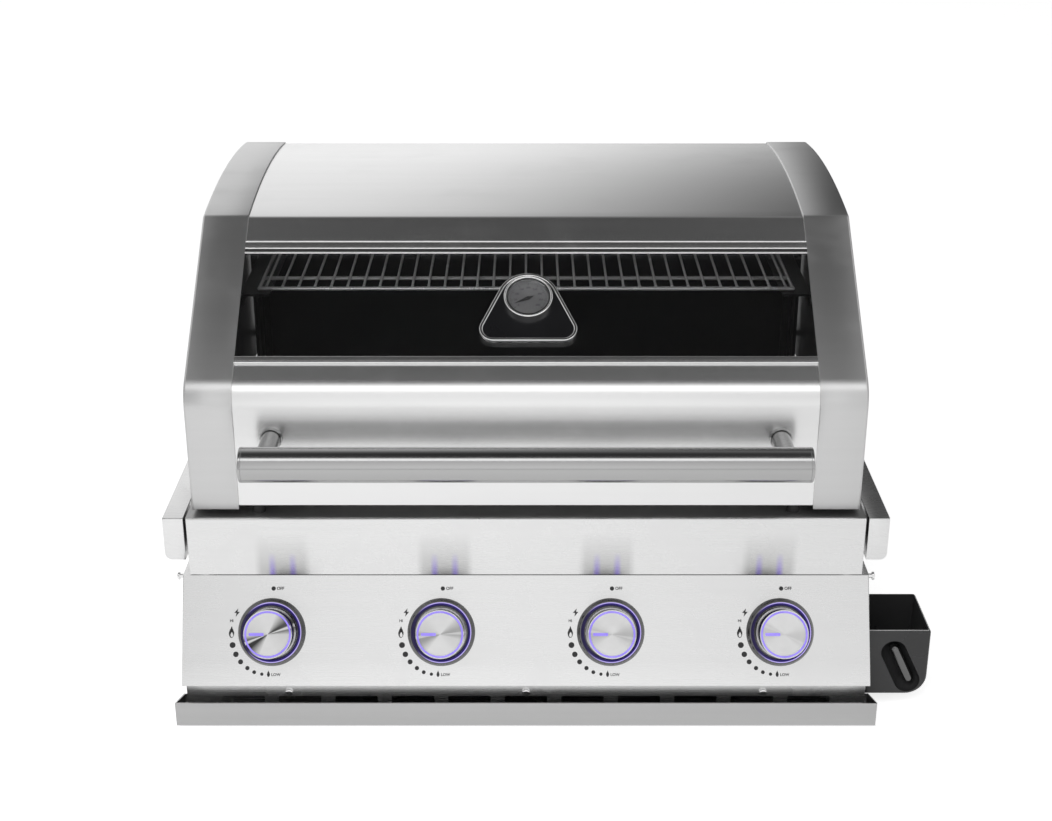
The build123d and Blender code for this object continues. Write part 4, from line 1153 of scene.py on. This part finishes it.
# %% Vent plate
vent = box_piece("vent_strip", (-386.5, 386.5), (-50, 45), (-229.5, -185))
delete_faces(lambda p, f: f.normal.y > 0.9 or f.normal.z > 0.9 or abs(f.normal.x) > 0.9)
choose("EDGE", lambda p, e: p.y < -49 and p.z < -229)
bevel(1.0, 3)
only(vent)
thicken(vent, SHEET)
for i in range(-5, 6):
    slot = box_piece("slot", (i * 64.5 - 24.25, i * 64.5 + 24.25), (-55, -45), (-226.5, -216.5))
    choose("EDGE", lambda p, e: abs(p.y + 50) < 1)
    bevel(1.5, 3)
    only(slot)
    cut(vent, slot)
dress(vent, PANEL_STEEL, "panel_steel", "chassis", "vent_plate")

# %% [markdown]
# ### Drip tray front
# A trough with a hemmed upper edge that catches the light as one bright line.

# %% Drip tray front
trough = box_piece("tray_front", (-398, 398), (PANEL_FRONT, -17.5), (-245.7, -215.7))
delete_faces(lambda p, f: f.normal.z > 0.9)
choose("EDGE", lambda p, e: abs(p.x) < 1 and p.y > -18 and p.z > -216)
slide(0, 0, -18)
choose("EDGE", lambda p, e: p.y < -66
       and (p.z < -245 or (abs(p.x) > 397 and len(e.link_faces) == 2)))
bevel(1.0, 3)
only(trough)
thicken(trough, SHEET)
soften(trough, 0.5, 3, 60)
# Its darker steel is painted shade.
dress(trough, DARKENED_TRAY_STEEL, "tray_steel", "drip_tray", "drip_tray_front")

# %% [markdown]
# ### Screws
# Pan heads with a cross recess. One is modelled and turned, then copied to each place.

# %% Screws
screw = cylinder("pan_screw", 4.5, 2.6, (0, 0, 1.3 * MM), count=40)
local("EDGE", lambda p, e: p.z > 2.5)
bevel(1.1, 4)
local("FACE", lambda p, f: f.normal.z < -0.9)
inset(2.0)
extrude(0, 0, -5)
only(screw)
for turn in (0, pi / 2):
    cross = cube("cross", (4.2, 0.9, 1.6), (0, 0, 2.4 * MM), (0, 0, turn))
    local("FACE", lambda p, f: f.normal.z < -0.9)
    stretch(0.6, 0.6, 1)
    only(cross)
    cut(screw, cross)
screws = []
for x in (-270, 0, 270):
    screws.append(copy_of(screw, "panel_screw"))
    move_to(screws[-1], at(x, -50, -211.3), (pi / 2, 0, 0))
for side in (-1, 1):
    stud = copy_of(screw, "panel_stud")
    reopen(stud)
    local("FACE", lambda p, f: p.z < -4.9)
    slide(0, 0, -12)
    only(stud)
    move_to(stud, at(side * 393.5, -2, -87), (0, side * pi / 2, 0))
    screws.append(stud)
    screws.append(copy_of(screw, "catcher_screw"))
    move_to(screws[-1], at(390.5, 27.5 + side * 22, -185), (0, pi / 2, 0))
bpy.data.objects.remove(screw)
screws = join(*screws)
dress(screws, CHROME, "chrome", "chassis", "panel_screws", angle=30)

# %% [markdown]
# ## Knobs
# A knob is turned metal: a body with a bright edge, a lit ring in its rim, a face with fine
# circular lines and dark fans of painted reflection, and a lit bar that points to the setting. It
# stands in a smoked chrome bezel with a second light ring round it.

# %% Turning a knob
def round_grain(piece):
    """A UV map whose first axis runs round the piece's axis and whose second runs outwards."""
    only(piece)
    mesh = piece.data
    while mesh.uv_layers:
        mesh.uv_layers.remove(mesh.uv_layers[0])
    chart = mesh.uv_layers.new(name="UVMap")
    for face in mesh.polygons:
        turns = []
        for index in face.loop_indices:
            co = mesh.vertices[mesh.loops[index].vertex_index].co
            angle = atan2(co.y, co.x)
            if turns and angle - turns[0] > pi:
                angle -= 2 * pi
            if turns and turns[0] - angle > pi:
                angle += 2 * pi
            if hypot(co.x, co.y) < 1e-6:
                angle = turns[0] if turns else atan2(face.center.y, face.center.x)
            turns.append(angle)
            chart.data[index].uv = (angle * 0.02, hypot(co.x, co.y) + co.z)


def disc_piece(name, radius, low, high, count=96):
    return cylinder(name, radius, high - low, (0, 0, (low + high) / 2 * MM), count=count)


knob = disc_piece("knob_body", 28, 0, 4)
local("FACE", lambda p, f: f.normal.z > 0.9)
inset(1.2)
extrude(0, 0, 21.5)
inset(0.6)
inset(2.3, -0.9)
inset(0.3, 0.7)
inset(0.5)
inset(0.3, -0.3)
for width in (3, 4, 5, 4, 3, 2):
    inset(width)
bpy.ops.mesh.poke()
local("FACE", lambda p, f: f.normal.z < -0.9)
inset(3.8)
extrude(0, 0, 20)
local("EDGE", lambda p, e: p.z > 25.4 and hypot(p.x, p.y) > 26)
bevel(0.9, 4)
local("EDGE", lambda p, e: abs(p.z - 4) < 0.1 and hypot(p.x, p.y) > 27.5)
bevel(0.5, 3)
local("FACE", lambda p, f: 4.3 < p.z < 24.8 and abs(f.normal.z) < 0.5)
knob_side = part_off(knob, "knob_side")
round_grain(knob)

halo = disc_piece("knob_halo", 26.1, 24.4, 25.3)
local("FACE", lambda p, f: f.normal.z > 0.9)
inset(0.3, 0.1)
inset(1.6)
inset(0.3, -0.1)
bpy.ops.mesh.delete(type="FACE")
delete_faces(lambda p, f: f.normal.z < -0.9, local)
pointer = cube("knob_pointer", (16.6, 3.3, 0.5), (-12.8 * MM, 0, 25.1 * MM))
local("EDGE", lambda p, e: abs(e.verts[0].co.z - e.verts[1].co.z) > 0.0004)
bevel(0.9, 4)
local("FACE", lambda p, f: f.normal.z > 0.9)
inset(0.4, 0.05)
only(pointer)
halo = join(halo, pointer)

# %% Bezel and its light
BEZEL_FOOT, BEZEL_TOP = 38.2, 34.9
bezel = disc_piece("knob_bezel", BEZEL_FOOT, 0, 8)
local("VERT", lambda p, v: p.z > 7.9)
stretch(BEZEL_TOP / BEZEL_FOOT, BEZEL_TOP / BEZEL_FOOT, 1, center_override=(0, 0, 0))
local("FACE", lambda p, f: f.normal.z > 0.9)
inset(0.5)
inset(0.3, -6.4)
inset(5.6)
inset(0.3, -5.0)
bpy.ops.mesh.delete(type="FACE")
delete_faces(lambda p, f: f.normal.z < -0.9, local)
local("EDGE", lambda p, e: p.z > 7.9 and hypot(p.x, p.y) > 34)
bevel(0.8, 4)
only(bezel)
glow_ring = disc_piece("bezel_light", 34.0, 1.6, 6.4)
local("FACE", lambda p, f: f.normal.z > 0.9)
inset(0.2, 0.1)
inset(0.6)
inset(2.9, -1.2)
inset(0.4, -0.6)
bpy.ops.mesh.delete(type="FACE")
delete_faces(lambda p, f: f.normal.z < -0.9, local)
only(glow_ring)
round_grain(glow_ring)

KNOB_OUT = 6.5
bezels, lights = [], []
for number, x in enumerate(KNOB_XS, start=1):
    body = f"knob_{number}"
    turned = set_on_panel(knob, f"knob_turned_{number}", x, KNOB_OUT)
    dress(turned, KNOB_METAL, "knob_metal", body, body, angle=30, round_laid=True)
    wall = set_on_panel(knob_side, f"knob_wall_{number}", x, KNOB_OUT)
    dress(wall, DARK_CHROME, "knob_metal", body, angle=30)
    lit = set_on_panel(halo, f"knob_halo_{number}", x, KNOB_OUT)
    dress(lit, HALO_LIGHT, "light_violet", body, angle=30)
    bezels.append(set_on_panel(bezel, "knob_bezel_ring", x))
    lights.append(set_on_panel(glow_ring, "bezel_light_ring", x))
for master in (knob, knob_side, halo, bezel, glow_ring):
    bpy.data.objects.remove(master)
dress(join(*bezels), BEZEL_CHROME, "chrome", "chassis", "knob_bezels", angle=30)
dress(join(*lights), LIGHT_VIOLET, "light_violet", "chassis", "light_rings", angle=30,
      round_laid=True)

# %% [markdown]
# ## Cap catcher and opener
# A moulded black box, open on top, hangs on the panel's right end. A drop-shaped pocket in its
# front holds a claw that lifts bottle caps, which fall into the box.

# %% Cap catcher
BOX_X = (388, 464.5)
BOX_Y = (-17, 72)
BOX_Z = (-235, -150.5)


def rounded_box(name, x, y, z, upright, corner):
    """A block whose outer uprights and lower right edge are rounded."""
    block = box_piece(name, x, y, z)
    choose("EDGE", lambda p, e: p.x > x[1] - 0.1 and p.z < z[0] + 0.1)
    bevel(corner, 10)
    choose("EDGE", lambda p, e: p.x > x[1] - 0.1 and abs((e.verts[0].co - e.verts[1].co).y) < 1e-5
           and p.z > z[0] + corner)
    only(block)
    soften(block, upright, 5, 60)
    outward(block)
    return block


catcher = rounded_box("cap_box", BOX_X, BOX_Y, BOX_Z, 3.5, 24)
room = rounded_box("room", (390.5, 462), (-14.5, 69.5), (-232.5, -140), 2.0, 21.5)
cut(catcher, room)


def pod(name, long, thick, place):
    """A drop lying along X: a ball whose one end is drawn out to a point, then tilted."""
    drop = begin(name, bpy.ops.mesh.primitive_uv_sphere_add, segments=40, ring_count=28,
                 radius=thick * MM, rotation=(0, pi / 2, 0))
    ball = long - thick
    for step in range(1, 14):
        edge = -thick * step / 14
        local("VERT", lambda p, v: p.x < edge)
        slide(-(long + ball) / 14, 0, 0)
    everything()
    slide(ball, 0, 0)
    only(drop)
    move_to(drop, place, (0, radians(64.2), 0))
    return drop


POCKET = at(BOX_X[0] + (BOX_X[1] - BOX_X[0]) * 0.616, BOX_Y[0] + 3,
            BOX_Z[0] + (BOX_Z[1] - BOX_Z[0]) * 0.379)
bulge = pod("bulge", 32.5, 17.5, POCKET)
limits = box_piece("limits", (389, 463), (-15, 71), (-234, -152))
only(limits)
cut(bulge, limits, operation="INTERSECT")
cut(catcher, bulge, operation="UNION")
cut(catcher, pod("pocket", 30, 15, POCKET))
soften(catcher, 0.7, 3, 50)
# The rim's top faces are split off and take the light grey, a painted highlight on the black
# moulding.
reopen(catcher)
choose("FACE", lambda p, f: p.z > BOX_Z[1] - 0.8)
rim = part_off(catcher, "cap_box_rim")
dress(rim, CATCHER_RIM_HIGHLIGHT, "catcher_black", "chassis", angle=40)
dress(catcher, CATCHER_BLACK, "catcher_black", "chassis", "cap_catcher", angle=40)
claw = pod("claw", 26, 6.5, POCKET + Vector((1.3, 7.6, 2.7)) * MM)
dress(claw, CLAW_BLACK, "claw_black", "chassis", "opener_claw", angle=40)


# %% [markdown]
# ### Rim shields
# A dark strip lies on each side rim of the firebox and folds up behind, so that no daylight passes
# the hinge. It is a guess.

# %% Rim shields
RIM_X = (348, 369.8)
shield = box_piece("rim_shield_right", RIM_X, (50.5, 470.5), (-10.9, -9))
tab = box_piece("shield_tab", RIM_X, (468.5, 470.5), (-10, 215))
only(shield)
cut(shield, tab, operation="UNION")
soften(shield, 0.4, 2)
# The shields' near-black finish is painted shade.
dress(other_side(shield, "rim_shield_left"), SHADE_BLACK_STEEL, "inner_steel", "chassis")
dress(shield, SHADE_BLACK_STEEL, "inner_steel", "chassis")


# %% [markdown]
# ## Floor, light and camera
# Brushed steel shows what is around it. A studio for steel is a pale room: bright from the floor up
# to head height, darker overhead, so that the sloped faces turn dark and the upright ones bright.

# %% Floor
def seen_rays(tree, camera_share):
    """1 for reflected and transmitted rays, another share for camera rays, 0 for the rest."""
    rays = node(tree, "ShaderNodeLightPath")
    mirrored = maths(tree, "MAXIMUM", rays.outputs["Is Glossy Ray"],
                     rays.outputs["Is Transmission Ray"])
    direct = times(tree, rays.outputs["Is Camera Ray"], camera_share)
    return maths(tree, "MAXIMUM", mirrored, direct)


only()
bpy.ops.mesh.primitive_plane_add(size=40, location=(0, 6, 0))
floor = bpy.context.object
floor.name = "studio_floor"
floor_paint, tree, shader = new_material(
    "floor_paint", Roughness=0.7, Base_Color=grey(0.8), Specular_IOR_Level=0.2)
glow = node(tree, "ShaderNodeEmission", {
    "Color": grey(1.0), "Strength": times(tree, seen_rays(tree, 1.9), 0.4)})
both = node(tree, "ShaderNodeAddShader", {0: shader.outputs[0], 1: glow.outputs[0]})
tree.links.new(both.outputs[0], tree.nodes["Material Output"].inputs["Surface"])
floor.data.materials.append(floor_paint)

# %% [markdown]
# The room is pale in front and behind up to a steep angle, dark right overhead, a little darker at
# the sides, and the wall behind falls off to the right, which grades the crown of the hood.

# %% Room light
room = bpy.data.worlds.new("studio")
bpy.context.scene.world = room
room.use_nodes = True
tree = room.node_tree
place = node(tree, "ShaderNodeTexCoord")
across, back, height = axes_of(tree, place.outputs["Generated"])
rise = node(tree, "ShaderNodeValToRGB", {"Fac": height})
stops = rise.color_ramp.elements
stops[0].position, stops[0].color = 0.0, grey(1.12)
stops[1].position, stops[1].color = 0.2, grey(1.1)
for position, level in ((0.36, 1.0), (0.55, 0.95), (0.72, 0.75), (0.83, 0.5), (0.9, 0.25),
                        (0.95, 0.1), (1.0, 0.04)):
    stops.new(position).color = grey(level)


def eased(value, *ends):
    return spread(tree, value, *ends, interpolation_type="SMOOTHSTEP")


def less(value):
    return maths(tree, "SUBTRACT", 1.0, value)


leaning = maths(tree, "ADD", across, times(tree, maths(tree, "SUBTRACT", height, 0.55), 0.23))
shade_behind = times(tree, eased(leaning, -0.16, 0.24, 0.0, 0.95), spread(tree, back, 0.3, 0.7))
falloff = times(tree, eased(across, -0.26, -0.15, 0.62, 1.0), eased(across, 0.0, 0.26, 1.0, 0.82))
shade_front = times(tree, less(falloff), spread(tree, back, -0.6, -0.3, 1.0, 0.0))
sideways = eased(maths(tree, "ABSOLUTE", across), 0.7, 0.97, 0.0, 0.6)
kept = times(tree, less(shade_behind), less(shade_front), less(sideways))
strength = times(tree, kept, spread(tree, seen_rays(tree, 1.0), 0.0, 1.0, 0.55, 1.0))
feed(tree, tree.nodes["Background"].inputs, {"Color": rise.outputs[0], "Strength": strength})


# %% Softboxes
def softbox(name, place, target, wide, deep, power, mirrored):
    only()
    bpy.ops.object.light_add(type="AREA", location=place)
    lamp = bpy.context.object
    lamp.name = name
    lamp.data.shape = "RECTANGLE"
    lamp.data.size, lamp.data.size_y = wide, deep
    lamp.data.energy = power
    lamp.visible_glossy = mirrored
    lamp.rotation_euler = (Vector(target) - lamp.location).to_track_quat("-Z", "Y").to_euler()


softbox("front_softbox", (-0.8, -2.2, 2.2), (0, -0.3, 0), 2.2, 1.6, 37, False)
softbox("strip_softbox", (0, -1.29, 1.86), (0, -0.34, 0.33), 2.6, 0.48, 6, True)

# %% Camera
only()
bpy.ops.object.camera_add(location=(0, -1.9625, 1.082), rotation=(radians(67.1), 0, 0))
camera = bpy.context.object
camera.data.lens = 57.49
camera.data.sensor_width = 36
bpy.context.scene.camera = camera
bpy.context.scene.view_settings.view_transform = "Standard"
